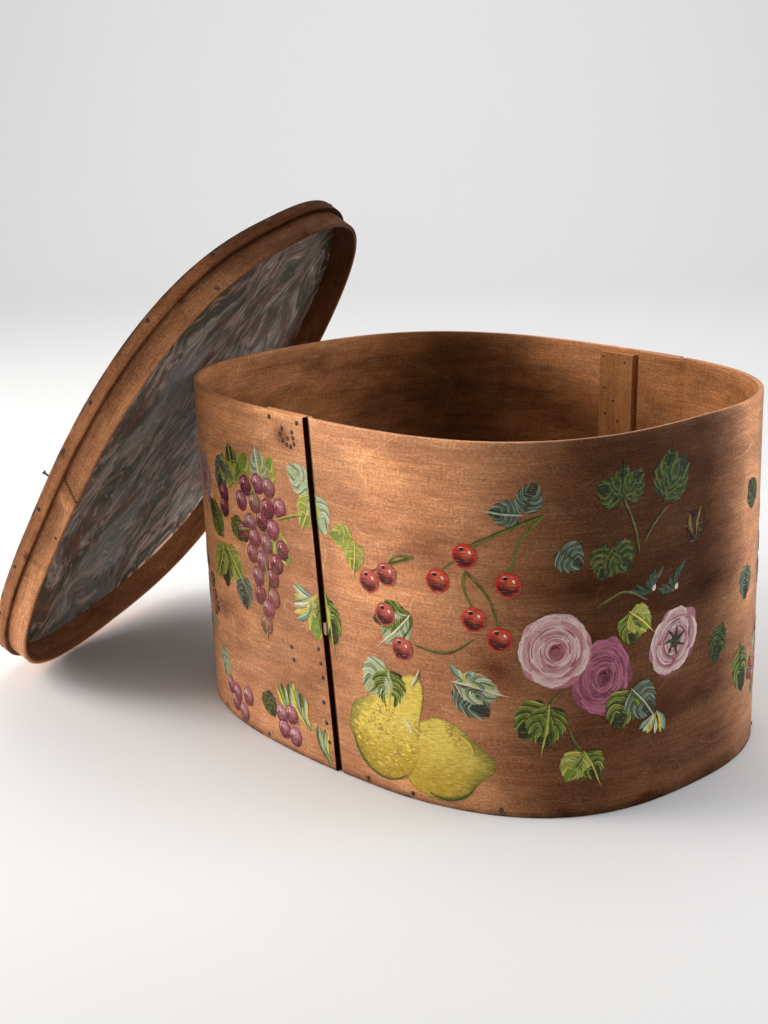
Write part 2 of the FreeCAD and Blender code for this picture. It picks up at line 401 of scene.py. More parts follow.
def wood(name, light, mid, dark, pale, coords="flat", rough=(0.42, 0.62),
         specular=0.4, pits=0.5, chalk=0.3, tinted=True, dust=0.0):
    """Old bent board: fine long grain, broad figure, pits, rubbed pale specks."""
    k = Mat(name)
    get = k.flat if coords == "flat" else k.solid

    def stretched(a, b, at):
        if coords == "flat":
            return get((a, b, 1.0), at)
        return get((b, b, a) if coords == "upright" else (a, b, b), at)
    fine = k.noise(stretched(55, 640, (0, 0, 0)), 1.0, 5.0, 0.62, 0.4)
    line = k.noise(stretched(10, 190, (3, 1, 0)), 1.0, 5.0, 0.60, 0.9)
    broad = k.noise(stretched(3.5, 30, (7, 2, 0)), 1.0, 4.0, 0.5, 1.2)
    blotch = k.noise(stretched(13, 20, (1, 5, 0)), 1.0, 5.0, 0.6, 0.8)
    grit = k.noise(stretched(420, 700, (6, 3, 0)), 1.0, 3.0, 0.6)
    fleck = k.noise(stretched(620, 110, (2, 6, 0)), 1.0, 3.0, 0.5)
    color = k.mix(k.ramp(broad, ((0.36, 0.0), (0.66, 1.0))), mid, light)
    for mask, stops, amount, other in ((line, ((0.44, 0.0), (0.72, 1.0)), 0.42, dark),
                                       (fine, ((0.50, 0.0), (0.72, 1.0)), 0.42, dark),
                                       (fine, ((0.28, 1.0), (0.46, 0.0)), chalk, pale),
                                       (blotch, ((0.48, 0.0), (0.70, 1.0)), 0.42, dark),
                                       (grit, ((0.30, 1.0), (0.50, 0.0)), chalk * 0.8, pale),
                                       (grit, ((0.52, 0.0), (0.72, 1.0)), 0.50, dark),
                                       (fleck, ((0.52, 0.0), (0.70, 1.0)), 0.30, dark)):
        color = k.over(color, other, mask, stops, amount)
    speck = k.cells(stretched(190, 420, (0, 0, 0)))
    hole = k.ramp(speck, ((0.06, 1.0), (0.16, 0.0)))
    near = k.ramp(k.noise(stretched(30, 40, (4, 4, 0)), 1.0, 2.0), ((0.47, 0.0), (0.60, 1.0)))
    hole = k.math("MULTIPLY", k.math("MULTIPLY", hole, near), pits)
    color = k.mix(hole, color, (0.035, 0.018, 0.010))
    scuff = k.cells(stretched(160, 260, (2, 8, 0)))
    scuff = k.math("MULTIPLY", k.ramp(scuff, ((0.06, 1.0), (0.14, 0.0))),
                   k.ramp(k.noise(stretched(22, 30, (9, 1, 0)), 1.0, 2.0), ((0.48, 0.0), (0.60, 1.0))))
    color = k.mix(k.math("MULTIPLY", scuff, chalk * 1.8), color, pale)
    for at, size in (((5, 5, 0), (9, 13)), ((1, 7, 0), (16, 22))):
        scratch = k.ramp(k.noise(stretched(*size, at), 1.0, 1.0), ((0.4975, 0.0), (0.50, 1.0), (0.5025, 0.0)))
        place = k.ramp(k.noise(stretched(24, 30, (at[1], 2, 0)), 1.0, 1.0), ((0.55, 0.0), (0.60, 1.0)))
        color = k.mix(k.math("MULTIPLY", k.math("MULTIPLY", scratch, place), chalk), color, pale)
    if tinted:
        color = k.mix(1.0, color, k.tint(), "MULTIPLY")
        specular = k.math("MULTIPLY", k.math("MINIMUM", k.tint(), 1.0), specular)
    grain = k.math("ADD", k.math("MULTIPLY", fine, 0.6), line)
    height = k.math("SUBTRACT", grain, k.math("MULTIPLY", hole, 2.0))
    normal = k.bump(height, 0.35, 0.0005)
    r = k.ramp(k.math("ADD", k.math("MULTIPLY", blotch, 0.6), k.math("MULTIPLY", fine, 0.4)),
               ((0.35, rough[0]), (0.65, rough[1])))
    return k.finish(color, r, normal, Specular_IOR_Level=specular,
                    Sheen_Weight=dust, Sheen_Roughness=0.25)


WALL_WOOD = wood("wall_wood", (0.53, 0.220, 0.080), (0.40, 0.158, 0.056), (0.16, 0.056, 0.022),
                 (0.72, 0.44, 0.26), chalk=0.40, rough=(0.46, 0.64), pits=1.0, specular=0.30, dust=0.05)
RAW_WOOD = wood("raw_wood", (0.42, 0.25, 0.13), (0.27, 0.15, 0.08), (0.10, 0.05, 0.028),
                (0.52, 0.36, 0.22), coords="solid", tinted=False, rough=(0.6, 0.8), specular=0.25)
LID_WOOD = wood("lid_wood", (0.47, 0.20, 0.085), (0.34, 0.135, 0.055), (0.13, 0.048, 0.020),
                (0.60, 0.36, 0.21), chalk=0.38, pits=0.8, rough=(0.55, 0.75), specular=0.22)
BATTEN_WOOD = wood("batten_wood", (0.68, 0.30, 0.09), (0.52, 0.21, 0.062), (0.21, 0.075, 0.024),
                   (0.72, 0.42, 0.20), coords="upright", tinted=False, rough=(0.5, 0.7), specular=0.3)
LID_TOP_WOOD = wood("lid_top_wood", (0.33, 0.14, 0.055), (0.24, 0.095, 0.04), (0.10, 0.04, 0.018),
                    (0.50, 0.32, 0.20), chalk=0.3, rough=(0.42, 0.6))


def iron():
    k = Mat("nail_iron")
    grit = k.noise(k.solid((900, 900, 900)), 1.0, 4.0)
    rust = k.noise(k.solid((300, 300, 300), (3, 1, 2)), 1.0, 3.0)
    color = k.mix(k.ramp(rust, ((0.45, 0.0), (0.62, 1.0))), (0.030, 0.027, 0.027), (0.13, 0.055, 0.028))
    return k.finish(color, k.ramp(grit, ((0.3, 0.45), (0.7, 0.75))), k.bump(grit, 0.5, 0.0003), Metallic=0.6)


IRON = iron()


# ---------------------------------------------------------------- the box
def spot(s, z, at, size):
    """Soft round weight, 1 at the middle. Places and sizes share one unit."""
    return np.exp(-((s - at[0]) / size[0]) ** 2 - ((z - at[1]) / size[1]) ** 2)


def ramp(a, table):
    """Value read off a short table of (place, value) pairs."""
    x, y = zip(*table)
    return np.interp(a, x, y)


# darker places on the wall: middle (mm along, mm up), reach (mm, mm), strength
STAINS = (((120, 190), (22, 16), 0.62), ((118, 186), (42, 28), 0.25), ((-4, 252), (10, 7), 0.85),
          ((230, 166), (60, 9), 0.60), ((345, 149), (34, 8), 0.6), ((330, 68), (42, 10), 0.5),
          ((262, 60), (70, 26), 0.25), ((170, 110), (20, 24), 0.6), ((36, 176), (7, 22), 0.40),
          ((-15, 160), (34, 50), 0.22), ((-115, 94), (36, 9), 0.6), ((-96, 150), (16, 60), 0.35),
          ((-125, 232), (36, 24), 0.45), ((10, 90), (40, 30), 0.25), ((218, 6), (10, 3), 0.7),
          ((285, 6), (13, 3), 0.8), ((370, 6), (24, 3), 0.55))


def hump(a, at, reach, height):
    """Smooth rise of a given height round one place."""
    return height * np.exp(-((a - at) / reach) ** 2)


def wall_light_and_stain_tone(a, low):
    """Lightness along the wall, mostly painted light: painted highlights make it pale by the left end and on the
    front, painted shade with some darker stain makes it dark on the right-hand shoulder, and a painted reflection
    makes it pale at its end.
    """
    dark = smooth((a - 135) / 110) * smooth((415 - a) / 75)
    # humps at -140, 80 and 130 are painted highlights, the one at 412 a painted sheen; dark is painted shade mixed
    # with stain
    upper = 1.05 + hump(a, -140, 75, 2.2) + hump(a, 80, 55, 0.5) + hump(a, 412, 20, 0.9) - 0.84 * dark
    lower = 1.0 + hump(a, -150, 70, 0.6) + hump(a, 130, 50, 0.3) - 0.66 * dark
    return upper * (1 - low) + lower * low


def wall_tint(s, z, depth, deg):
    """Stains, glazes and wear on the outside, over painted highlights and shade along the wall, a painted highlight on
    the upper front and a painted shadow in the front seam's groove; a darker, blotched inside, painted lighter toward
    its top where light falls in.
    """
    a, h = s * 1000, z * 1000
    a = (a + 667.0) % 1334.0 - 667.0
    low = smooth((150 - h) / 90)
    tone = wall_light_and_stain_tone(a, low)
    calm = 1 - smooth((np.abs(a) - 600) / 66)
    tone = tone * (1.0 + calm * (0.12 * fbm(a / 46, h / 22, 3) + 0.06 * fbm(a / 14, h / 5, 4)))
    patch = calm * smooth(0.5 + 0.8 * fbm(a / 60, h / 34, 6) + 0.35 * fbm(a / 17, h / 9, 8))
    # the lift round 125 mm along, 207 mm up is a painted highlight
    tone = tone * (1.06 - 0.30 * patch) * (1 + 0.35 * spot(a, h, (125, 207), (45, 20)))
    shade = np.stack([tone, (1 - 0.07 * patch) * tone ** 1.06, (1 - 0.10 * patch) * tone ** 1.10], -1)
    for at, size, amount in STAINS:
        w = spot(a, h, at, size) * amount * (1 + 0.45 * fbm(a / 11, h / 7, int(abs(at[0])) % 97))
        w = np.clip(w, 0, 1)[..., None]
        shade = shade * (1 - w + w * np.array((0.28, 0.15, 0.09)))
    ragged = 1 + 0.6 * fbm(a / 7, h / 4, 5)
    # darker in the last few millimetres at the foot
    foot_darkening = np.clip(np.exp(-h / 2.6) * 0.8 * ragged, 0, 0.9)
    worn = np.clip(np.exp(-(HEIGHT * 1000 - h) / 1.1) * 0.9 * ragged, 0, 1)
    shade = shade * (1 - foot_darkening)[..., None] * (1 + worn[..., None] * np.array((0.6, 0.8, 1.1)))
    # painted shadow in the groove just right of the front seam
    painted_groove_shadow = np.exp(-(np.clip(deg - FRONT_LAP[1], -1, 99) / 0.55) ** 2)
    painted_groove_shadow = painted_groove_shadow * (deg > FRONT_LAP[1] - 0.6) * (deg < 0)
    shade = shade * (1 - 0.93 * painted_groove_shadow)[..., None]
    # inside: lighter toward the top of the back and of the right-hand board, painted light falling in through the
    # opening; darker lower down, painted shade
    inside_painted_light = np.exp(-((np.abs(a) - 667) / 80) ** 2) * smooth((h - 205) / 50)
    inner = 0.88 - hump(a, -500, 88, 0.62) + 1.2 * inside_painted_light
    inner = np.where(a > 0, 0.62 + 0.70 * smooth((h - 170) / 60), inner)
    blotch = 0.34 * fbm(a / 40, h / 13, 9) + 0.26 * fbm(a / 13, h / 5, 10) + 0.14 * fbm(a / 5, h / 2.4, 12)
    inner = inner * (1 + calm * blotch)
    inner = inner + np.exp(-(HEIGHT * 1000 - h) / 9.0) * 0.30
    inside = np.stack([inner, 0.96 * inner ** 1.05, 0.82 * inner ** 1.15], -1)
    return np.where((depth > -0.0015)[..., None], np.clip(shade, 0.02, 1.75), np.clip(inside, 0.03, 1.6))


def wall_board(name, node, lap, base, extra, place):
    """One bent board from lap to lap; place gives the flat distance of each angle."""
    degs = np.linspace(lap[0], lap[1], int((lap[1] - lap[0]) / 0.62))
    degs = np.unique(np.concatenate([degs, extra, [lap[0] + 0.15, lap[1] - 0.15]]))
    prof = board_profile(BOARD, 0.0, HEIGHT, 0.0009, 62)
    b, caps = sweep(wall, degs, place(degs), prof, base, tint=wall_tint, dark_ends=True)
    b.obj(name, WALL_WOOD, "box", "box_wood", (node,), caps)


def left_place(degs):
    twice_round = np.concatenate([WALL_DEG, WALL_DEG[1:] + 360])
    return np.interp(degs, twice_round, np.concatenate([WALL_S, WALL_S[1:] + ROUND])) - ROUND


def right_place(degs):
    return np.interp((degs + 270) % 360 - 270, WALL_DEG, WALL_S)


joggles = np.concatenate([np.linspace(FRONT_LAP[1] - 0.3, FRONT_LAP[1] + JOGGLE, 16),
                          np.linspace(REAR_LAP[0] - JOGGLE, REAR_LAP[0] + 0.3, 16)])
wall_board("left_wall_board", "left_board", (REAR_LAP[0], 360.0 + FRONT_LAP[1]), lambda d, z: 0.0 * d, [],
           left_place)
wall_board("right_wall_board", "right_board", (FRONT_LAP[0], REAR_LAP[1]), lambda d, z: right_outer(d),
           joggles, right_place)


def dress(node, material):
    """Give a CAD node its material."""
    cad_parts[node].data.materials.clear()
    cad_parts[node].data.materials.append(material)


dress("floor_board", RAW_WOOD)
dress("seam_filler", RAW_WOOD)
dress("rear_batten", BATTEN_WOOD)
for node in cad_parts:
    if node.endswith(("nails", "nail")):
        dress(node, IRON)


# ---------------------------------------------------------------- the lid
SCARF_LOW, SCARF_HIGH = -78.2, -74.8


def scarf(deg, z):
    """Distance in degrees past the slanting joint where the hoop's ends lap."""
    return deg - (SCARF_LOW + (SCARF_HIGH - SCARF_LOW) * z / (LID_DEPTH - TRIM_WIDTH))


def scarf_step(deg, z):
    d = scarf(deg, z)
    return 0.0006 * smooth(-d / 0.12) * smooth((d + 26) / 20) - 0.0007 * np.exp(-(d / 0.13) ** 2)


def lid_hoop(name, off, thick, z0, z1, node, step, tint, r=0.0008, nz=14):
    degs = np.linspace(-190.0, 170.0, 700)[:-1]
    degs = np.unique(np.concatenate([degs, np.linspace(-80.5, -72.5, 100)]))
    s = np.interp(degs, LID_DEG, LID_S)
    prof = board_profile(thick, z0, z1, r, nz)
    b, caps = sweep(lid_point, degs, s, prof, lambda d, z: off + step(d, z), closed=True, tint=tint)
    return b.obj(name, LID_WOOD, "lid", "lid_wood", (node,), caps)


def lid_painted_light(deg):
    """Painted light round the lid: pale on its upper and left sides where light falls, painted shade on the side
    toward the floor.
    """
    return 1.3 - smooth((deg + 52) / 50) * smooth((150 - deg) / 80)


def calm_join(deg):
    """0 at the place where the flat coordinates start again, 1 away from it."""
    return smooth((deg + 190) / 14) * smooth((170 - deg) / 14)


def hoop_tint(s, z, depth, deg):
    a, h, calm = s * 1000, z * 1000, calm_join(deg)
    # more painted light by angle round the hoop, most toward the end at 180 degrees
    tone = lid_painted_light(deg) * (0.87 + smooth((-80 - deg) / 60) + smooth((deg + 15) / 185))
    blotch = 0.20 * fbm(a / 40, h / 9, 21) + 0.16 * fbm(a / 9, h / 4, 24) + 0.10 * fbm(a / 3, h / 9, 26)
    tone = tone * (1.0 + calm * blotch)
    chip = spot(deg, h, (-80.6, 8.0), (1.2, 4.5)) + spot(deg, h, (-79.0, 13.0), (0.8, 3.0))
    tone = tone * (1 + 0.55 * chip)
    tone = tone * (1 - 0.9 * np.exp(-(scarf(deg, z) / 0.16) ** 2) * (h < 18))
    # painted shadow in a band under the trim band's lower edge
    tone = tone * (1 - 0.55 * np.clip(np.exp(-np.abs(h - 17) / 1.3) * (1 + 0.4 * fbm(a / 6, h, 25)), 0, 1))
    inside = depth < -0.0015
    # inner face of the hoop: painted shade over most of the way round, lighter toward the end at 180 degrees
    hoop_inner_painted_light = 1.05 - 0.62 * smooth((deg + 160) / 150) * smooth((140 - deg) / 90)
    hoop_inner_painted_light = hoop_inner_painted_light * (1 + calm * (0.22 * fbm(a / 30, h / 6, 22) + 0.15 * fbm(a / 7, h / 3, 27)))
    k = np.where(inside, hoop_inner_painted_light, tone)
    mark = smooth(fbm(a / 10, h / 7, 28) * 1.6 - 0.65) * 0.5
    mark = mark + smooth(fbm(a / 2.2, h / 12, 29) * 1.6 - 0.8) * 0.35
    k = k * (1 - calm * np.clip(mark, 0, 0.8))
    return np.clip(np.stack([k, 0.93 * k ** 1.06, 0.80 * k ** 1.12], -1), 0.03, 1.9)


def trim_tint(s, z, depth, deg):
    a, h, calm = s * 1000, z * 1000, calm_join(deg)
    tone = lid_painted_light(deg) * (0.92 + calm * (0.26 * fbm(a / 34, h / 5, 31) + 0.18 * fbm(a / 8, h / 3, 32)))
    edge = smooth((h - 24.5) / 2.5) * smooth(fbm(a / 16, h / 5, 33) * 1.8 + 0.1)
    # painted shadow along the trim band's lower edge, where it stands off the hoop
    trim_gap_shadow = np.exp(-np.abs(h - 17) / 0.8) * 0.6
    k = np.clip(0.74 * tone * (1 - trim_gap_shadow), 0.05, 1.5)
    mark = smooth(fbm(a / 12, h / 6, 34) * 1.6 - 0.55) * 0.6
    mark = mark + smooth(fbm(a / 2.5, h / 9, 35) * 1.6 - 0.8) * 0.35
    k = k * (1 - calm * np.clip(mark, 0, 0.85))
    col = np.stack([k, 0.90 * k ** 1.12, 0.74 * k ** 1.25], -1)
    grey = (0.75 * edge)[..., None]
    return np.clip(col * (1 - grey) + np.array((0.16, 0.30, 0.55)) * 0.55 * grey, 0.03, 1.6)


lid_hoop("lid_rim_board", HOOP, HOOP, 0.0, LID_DEPTH, "lid_rim_hoop", scarf_step, hoop_tint)
lid_hoop("lid_trim_strip", HOOP + GLUE + TRIM, TRIM, LID_DEPTH - TRIM_WIDTH, LID_DEPTH, "lid_trim_band",
         lambda d, z: 0.0 * d, trim_tint, nz=6)


def top_panel():
    """Flat oval board: rings from the middle out on top, then back in underneath."""
    degs = np.linspace(-190.0, 170.0, 361)[:-1]
    rings = np.linspace(0.02, 1.0, 40)
    x, y = oval_xy(LID_OVAL, degs, -0.0003)
    rows, uv = [], []
    for z, sizes, apart in ((LID_DEPTH, rings, 0.0), (LID_DEPTH - LID_BOARD, rings[::-1], 1.0)):
        for size in sizes:
            rows.append(np.stack([x * size, y * size, np.full_like(x, z)], -1))
            uv.append(np.stack([x * size, y * size + apart], -1))
    pts = lid_place(np.array(rows))
    nu, nv = pts.shape[:2]
    idx = np.arange(nu * nv).reshape(nu, nv)
    idx = np.concatenate([idx, idx[:, :1]], 1)
    uv = np.array(uv)
    uv = np.concatenate([uv, uv[:, :1]], 1)
    b = Build()
    b.v, b.n = [pts.reshape(-1, 3)], nu * nv
    b.c = [np.ones((nu * nv, 3))]
    b.f = [np.stack((idx[:-1, :-1], idx[1:, :-1], idx[1:, 1:], idx[:-1, 1:]), -1).reshape(-1, 4)]
    b.uv = [np.stack((uv[:-1, :-1], uv[1:, :-1], uv[1:, 1:], uv[:-1, 1:]), 2).reshape(-1, 2)]
    caps = [list(range(nv)), list(range((nu - 1) * nv, nu * nv))[::-1]]
    b.obj("lid_top_panel", LID_TOP_WOOD, "lid", "lid_top_wood", ("lid_top_board",), caps)


top_panel()


def lining_material():
    """Old marbled cloth: long dragged streaks of grey, green-black, dusty pink and brown."""
    k = Mat("marbled_lining")
    warp = k.noise(k.flat((6, 11, 1)), 1.0, 2.0, 0.5, 1.0)
    drag = k.noise(k.flat((22, 40, 1), (2, 3, 0)), 1.0, 4.0, 0.6, 1.8)
    thin = k.noise(k.flat((30, 80, 1), (5, 1, 0)), 1.0, 3.0, 0.6, 2.0)
    patch = k.noise(k.flat((12, 22, 1), (8, 8, 0)), 1.0, 4.0, 0.6, 1.6)
    pinks = k.noise(k.flat((14, 28, 1), (1, 9, 0)), 1.0, 4.0, 0.6, 1.8)
    color = k.mix(k.ramp(drag, ((0.38, 0.0), (0.62, 1.0))), rgb(0.29, 0.28, 0.24), rgb(0.60, 0.56, 0.53))
    color = k.mix(k.ramp(patch, ((0.47, 0.0), (0.55, 0.92))), color, rgb(0.17, 0.21, 0.15))
    color = k.mix(k.ramp(pinks, ((0.56, 0.0), (0.65, 0.60))), color, rgb(0.68, 0.54, 0.50))
    for mask, stops, amount, other in ((pinks, ((0.41, 1.0), (0.49, 0.0)), 0.85, rgb(0.36, 0.23, 0.17)),
                                       (warp, ((0.50, 0.0), (0.62, 1.0)), 0.55, rgb(0.50, 0.53, 0.54)),
                                       (thin, ((0.57, 0.0), (0.66, 1.0)), 0.50, rgb(0.76, 0.71, 0.68)),
                                       (thin, ((0.34, 1.0), (0.44, 0.0)), 0.75, rgb(0.15, 0.14, 0.12))):
        color = k.over(color, other, mask, stops, amount)
    color = k.mix(1.0, color, k.tint(), "MULTIPLY")
    weave = k.wave(k.flat((1600, 1600, 1)), 1.0, 0.6)
    height = k.math("ADD", k.math("MULTIPLY", drag, 1.0), k.math("MULTIPLY", weave, 0.15))
    rough = k.ramp(thin, ((0.3, 0.55), (0.7, 0.8)))
    return k.finish(color, rough, k.bump(height, 0.5, 0.0006), Specular_IOR_Level=0.3)


def lining():
    """Thin lining sheet inside the lid, torn back along one side with a lifted pale edge."""
    degs = np.linspace(-190.0, 170.0, 541)
    torn = smooth((degs - 96) / 14) * smooth((172 - degs) / 16)
    ragged = 0.006 + 0.0035 * fbm(degs / 9.0, 0 * degs, 61) + 0.0012 * fbm(degs / 1.3, 0 * degs, 62)
    back_off = 0.0022 + torn * ragged
    back_off += 0.0006 * (1 + fbm(degs / 3.0, 0 * degs, 63))
    back_off[-1] = back_off[0]
    x, y = oval_xy(LID_OVAL, degs, -back_off)
    k = np.concatenate([np.linspace(0.0, 0.93, 34), [0.955, 0.975, 0.988, 0.995, 1.0]])[:, None]
    px, py = x * k, y * k
    curl = 0.0004 + 0.0012 * torn[None, :] * (1 + 0.6 * fbm(degs / 7.0, 0 * degs, 64)[None, :])
    lift = curl * smooth((k - 0.95) / 0.05)
    ripple = 0.00025 * (1 + fbm(px * 30, py * 30, 65))
    z = LID_DEPTH - LID_BOARD - 0.00035 - lift - ripple
    # painted light: the lining lighter toward the lid's lower end, less toward its top
    lining_painted_light = ramp(px, ((-0.2, 1.75), (-0.05, 1.35), (0.06, 1.0), (0.2, 1.15)))
    shade = (1.0 + 0.18 * fbm(px * 9, py * 9, 66)) * lining_painted_light
    pale = smooth((k - 0.976) / 0.012) * (0.25 + 2.2 * torn[None, :])
    col = np.stack([shade + pale * 1.2, shade + pale * 1.0, shade + pale * 0.8], -1)
    b = Build()
    swirl = 0.45 * fbm(px * 11, py * 11, 67) + 0.5
    turned = np.stack([px * np.cos(swirl) + py * np.sin(swirl), py * np.cos(swirl) - px * np.sin(swirl)], -1)
    b.grid(lid_place(np.stack([px, py, z], -1)), turned, col * np.array((1.08, 1.0, 0.93)))
    ob = b.obj("lid_lining_cloth", lining_material(), "lid", "lining", ("lid_lining",), merge=1e-6)


lining()


# ---------------------------------------------------------------- painted decoration
def on_wall(s, z, h):
    """Outside of the wall: s mm round from the middle of the front, z mm up, h mm proud."""
    z = np.clip(z, 0.4, HEIGHT * 1000.0 - 0.8)
    real = deg_of(s / 1000.0)
    k = 1.0 - 2.0 * z / (HEIGHT * 1000.0)
    deg = real
    for _ in range(3):
        deg = real - seam_lean(deg) * k
    left = (deg < FRONT_LAP[1]) | (deg > REAR_LAP[0])
    hidden = (deg > FRONT_LAP[1]) & (deg < FRONT_LAP[1] + 0.5)
    return wall(deg, z / 1000.0, outside(deg) + h / 1000.0), left, hidden


def on_lid(s, z, h):
    """Outside of the lid: mm from its middle along and across."""
    pts = lid_place(np.stack([s / 1000.0, z / 1000.0, LID_DEPTH + h / 1000.0 + 0 * s], -1))
    return pts, np.zeros(s.shape, bool), np.zeros(s.shape, bool)


WOOD_UNDER = rgb(0.55, 0.35, 0.22)


class Paint(Build):
    """Thin raised brush marks; places and sizes in mm."""

    def __init__(self, where=on_wall, fade=0.0):
        super().__init__()
        self.where, self.fade, self.marks = where, fade, 0

    def lay(self, s, z, h, col, uv):
        pts, left, hidden = self.where(s, z, h)
        self.marks += 1
        f = self.fade
        if f:
            n = np.clip(f * (1.0 + 0.9 * fbm(s / 5.0, z / 3.0, 31)), 0, 0.95)[..., None]
            col = col * (1 - n) + WOOD_UNDER * n
        self.grid(pts, uv / 1000.0, np.clip(col, 0.002, 1.0))
        quads = self.f[-1] - (self.n - s.size)
        bad = hidden.ravel()[quads].any(1) | (left.ravel()[quads].any(1) & ~left.ravel()[quads].all(1))
        if bad.any():
            self.f[-1] = self.f[-1][~bad]
            self.uv[-1] = self.uv[-1].reshape(-1, 4, 2)[~bad].reshape(-1, 2)

    def stroke(self, pts, width, a, b=None, layer=1, ends=(0.25, 0.45), lift=0.14, streak=0.22, m=7,
               edge=0.0):
        """One loaded brush mark through the points, colour a on one side and b on the other."""
        pts = np.asarray(pts, float)
        if len(pts) == 2:
            pts = np.array([pts[0], (pts[0] + pts[1]) / 2, pts[1]])
        step = np.concatenate([[0.0], np.cumsum(np.hypot(*np.diff(pts, axis=0).T))])
        length = step[-1]
        n = int(np.clip(length / 1.3, 7, 60))
        t = np.linspace(0, 1, n)
        px, pz = curve(step / length, pts[:, 0], t), curve(step / length, pts[:, 1], t)
        tx, tz = np.gradient(px), np.gradient(pz)
        k = np.hypot(tx, tz) + 1e-9
        nx, nz = -tz / k, tx / k
        body = np.sqrt(np.clip(t / max(ends[0], 1e-3), 0.02, 1))
        body = body * np.clip((1 - t) / max(ends[1], 1e-3), 0.03, 1) ** 0.75
        w = np.interp(t, np.linspace(0, 1, len(np.atleast_1d(width))), np.atleast_1d(width)) * body / 2
        seed = self.marks * 3.7
        ragged = 1.0 + 0.10 * np.sin(t * length * 0.9 + seed) * np.sin(t * length * 0.37 + 2 * seed)
        v = np.linspace(-1, 1, m)
        s = px[:, None] + (w * ragged)[:, None] * v * nx[:, None]
        z = pz[:, None] + (w * ragged)[:, None] * v * nz[:, None]
        h = 0.04 + 0.07 * layer + 0.0004 * (self.marks % 60) + lift * (1 - v ** 4) * np.sqrt(body)[:, None]
        a, b = np.asarray(a, float), np.asarray(a if b is None else b, float)
        mixv = smooth((v - edge + 1) / 2 + 0.14 * np.sin(7 * v + seed))[None, :, None]
        col = a * (1 - mixv) + b * mixv
        line = fbm(v[None, :] * 3.2 + seed, t[:, None] * 1.5 + seed, 41)
        col = col * (1 + streak * line)[..., None]
        uv = np.stack(np.broadcast_arrays(t[:, None] * length + 31 * seed, v * w.max() + 17 * seed), -1)
        self.lay(s, z, h, np.broadcast_to(col, (*s.shape, 3)), uv)

    def blob(self, at, size, shade, turn=0.0, layer=0, lift=0.22, outline=None, n=(40, 9)):
        """Filled rounded patch; shade(x, y, r) gives its colour, x and y from -1 to 1."""
        ang = np.linspace(0, 2 * math.pi, n[0])
        r = np.linspace(0.0, 1.0, n[1]) ** 0.8
        edge = np.ones_like(ang) if outline is None else outline(ang)
        edge = edge * (1 + 0.025 * np.sin(5 * ang + at[0]) + 0.02 * np.sin(9 * ang + at[1]))
        x = r[None, :] * (np.cos(ang) * edge)[:, None]
        y = r[None, :] * (np.sin(ang) * edge)[:, None]
        c, q = math.cos(math.radians(turn)), math.sin(math.radians(turn))
        s = at[0] + x * size[0] * c - y * size[1] * q
        z = at[1] + x * size[0] * q + y * size[1] * c
        h = 0.04 + 0.07 * layer + 0.0004 * (self.marks % 60)
        h = h + lift * np.sqrt(np.clip(1 - r ** 3, 0, 1)) + 0 * s
        col = shade((s - at[0]) / max(size), (z - at[1]) / max(size), r[None, :] + 0 * s)
        col = col * (1 + 0.12 * fbm(s / 2.6, z / 1.1, 43))[..., None]
        self.lay(s, z, h, col, np.stack([s, z], -1))

    def leaf(self, base, tip, width, pairs, back, rib, n=6, layer=1, long=0.16):
        """Leaf of fanned strokes over a darker ground, with a light rib run out past the point."""
        base, tip = np.asarray(base, float), np.asarray(tip, float)
        axis = tip - base
        size = np.hypot(*axis)
        e = axis / size
        f = np.array([-e[1], e[0]])
        mid = base + axis * 0.34
        w = width
        angles = (0, 15, 40, 70, 100, 130, 155, 180)
        reach = (0.60 * size, 0.50 * size, 0.28 * size + 0.20 * w, 0.10 * size + 0.40 * w,
                 0.49 * w, 0.47 * w, 0.42 * w, 0.28 * w)

        def rim(phi):
            return np.interp(phi, angles, reach)
        full = np.linspace(-180, 180, 49)
        ring = rim(np.abs(full)) * (1 + 0.05 * np.sin(np.radians(full) * 9))
        rr = np.linspace(0, 0.97, 6)
        x = rr[None] * (ring * np.cos(np.radians(full)))[:, None]
        y = rr[None] * (ring * np.sin(np.radians(full)))[:, None]
        s = mid[0] + x * e[0] + y * f[0]
        z = mid[1] + x * e[1] + y * f[1]
        col = back * (1 + 0.25 * fbm(s / 3.0, z / 2.0, 47))[..., None]
        h = 0.04 + 0.07 * layer + 0.10 * np.sqrt(1 - rr ** 2)[None] + 0 * s
        self.lay(s, z, h, col, np.stack([s, z], -1))
        jig = np.random.default_rng(int(abs(base[0] * 7 + base[1] * 3)) + n)
        n = n + n // 2
        for side in (1, -1):
            for i in range(n):
                k = i / (n - 1)
                out = 104 - 92 * k + jig.uniform(-4, 4)
                swing = min(146.0, out + 34 - 16 * k)
                head, belly = rim(out) * jig.uniform(0.97, 1.08), rim(swing) * (0.70 - 0.14 * k)
                p1, pm = (mid + d * (math.cos(math.radians(q)) * e + side * math.sin(math.radians(q)) * f)
                          for d, q in ((head, out), (belly, swing)))
                p0 = base + axis * (0.06 + 0.50 * k)
                a, b = pairs[(i + (side < 0)) % len(pairs)]
                wide = (0.62 * w + 0.44 * size) / n * jig.uniform(0.75, 1.25)
                self.stroke([p1, pm, p0], wide, a if side < 0 else b, b if side < 0 else a,
                            layer + 1 + 0.4 * k, (0.30, 0.50), m=7, edge=0.3 if side < 0 else -0.3)
        if rib is not None:
            self.stroke([base, base + axis * 0.5 + f * size * 0.03, tip, tip + axis * long],
                        [0.9, 1.5, 1.3, 0.6], rib, rib, layer + 3, (0.05, 0.25))

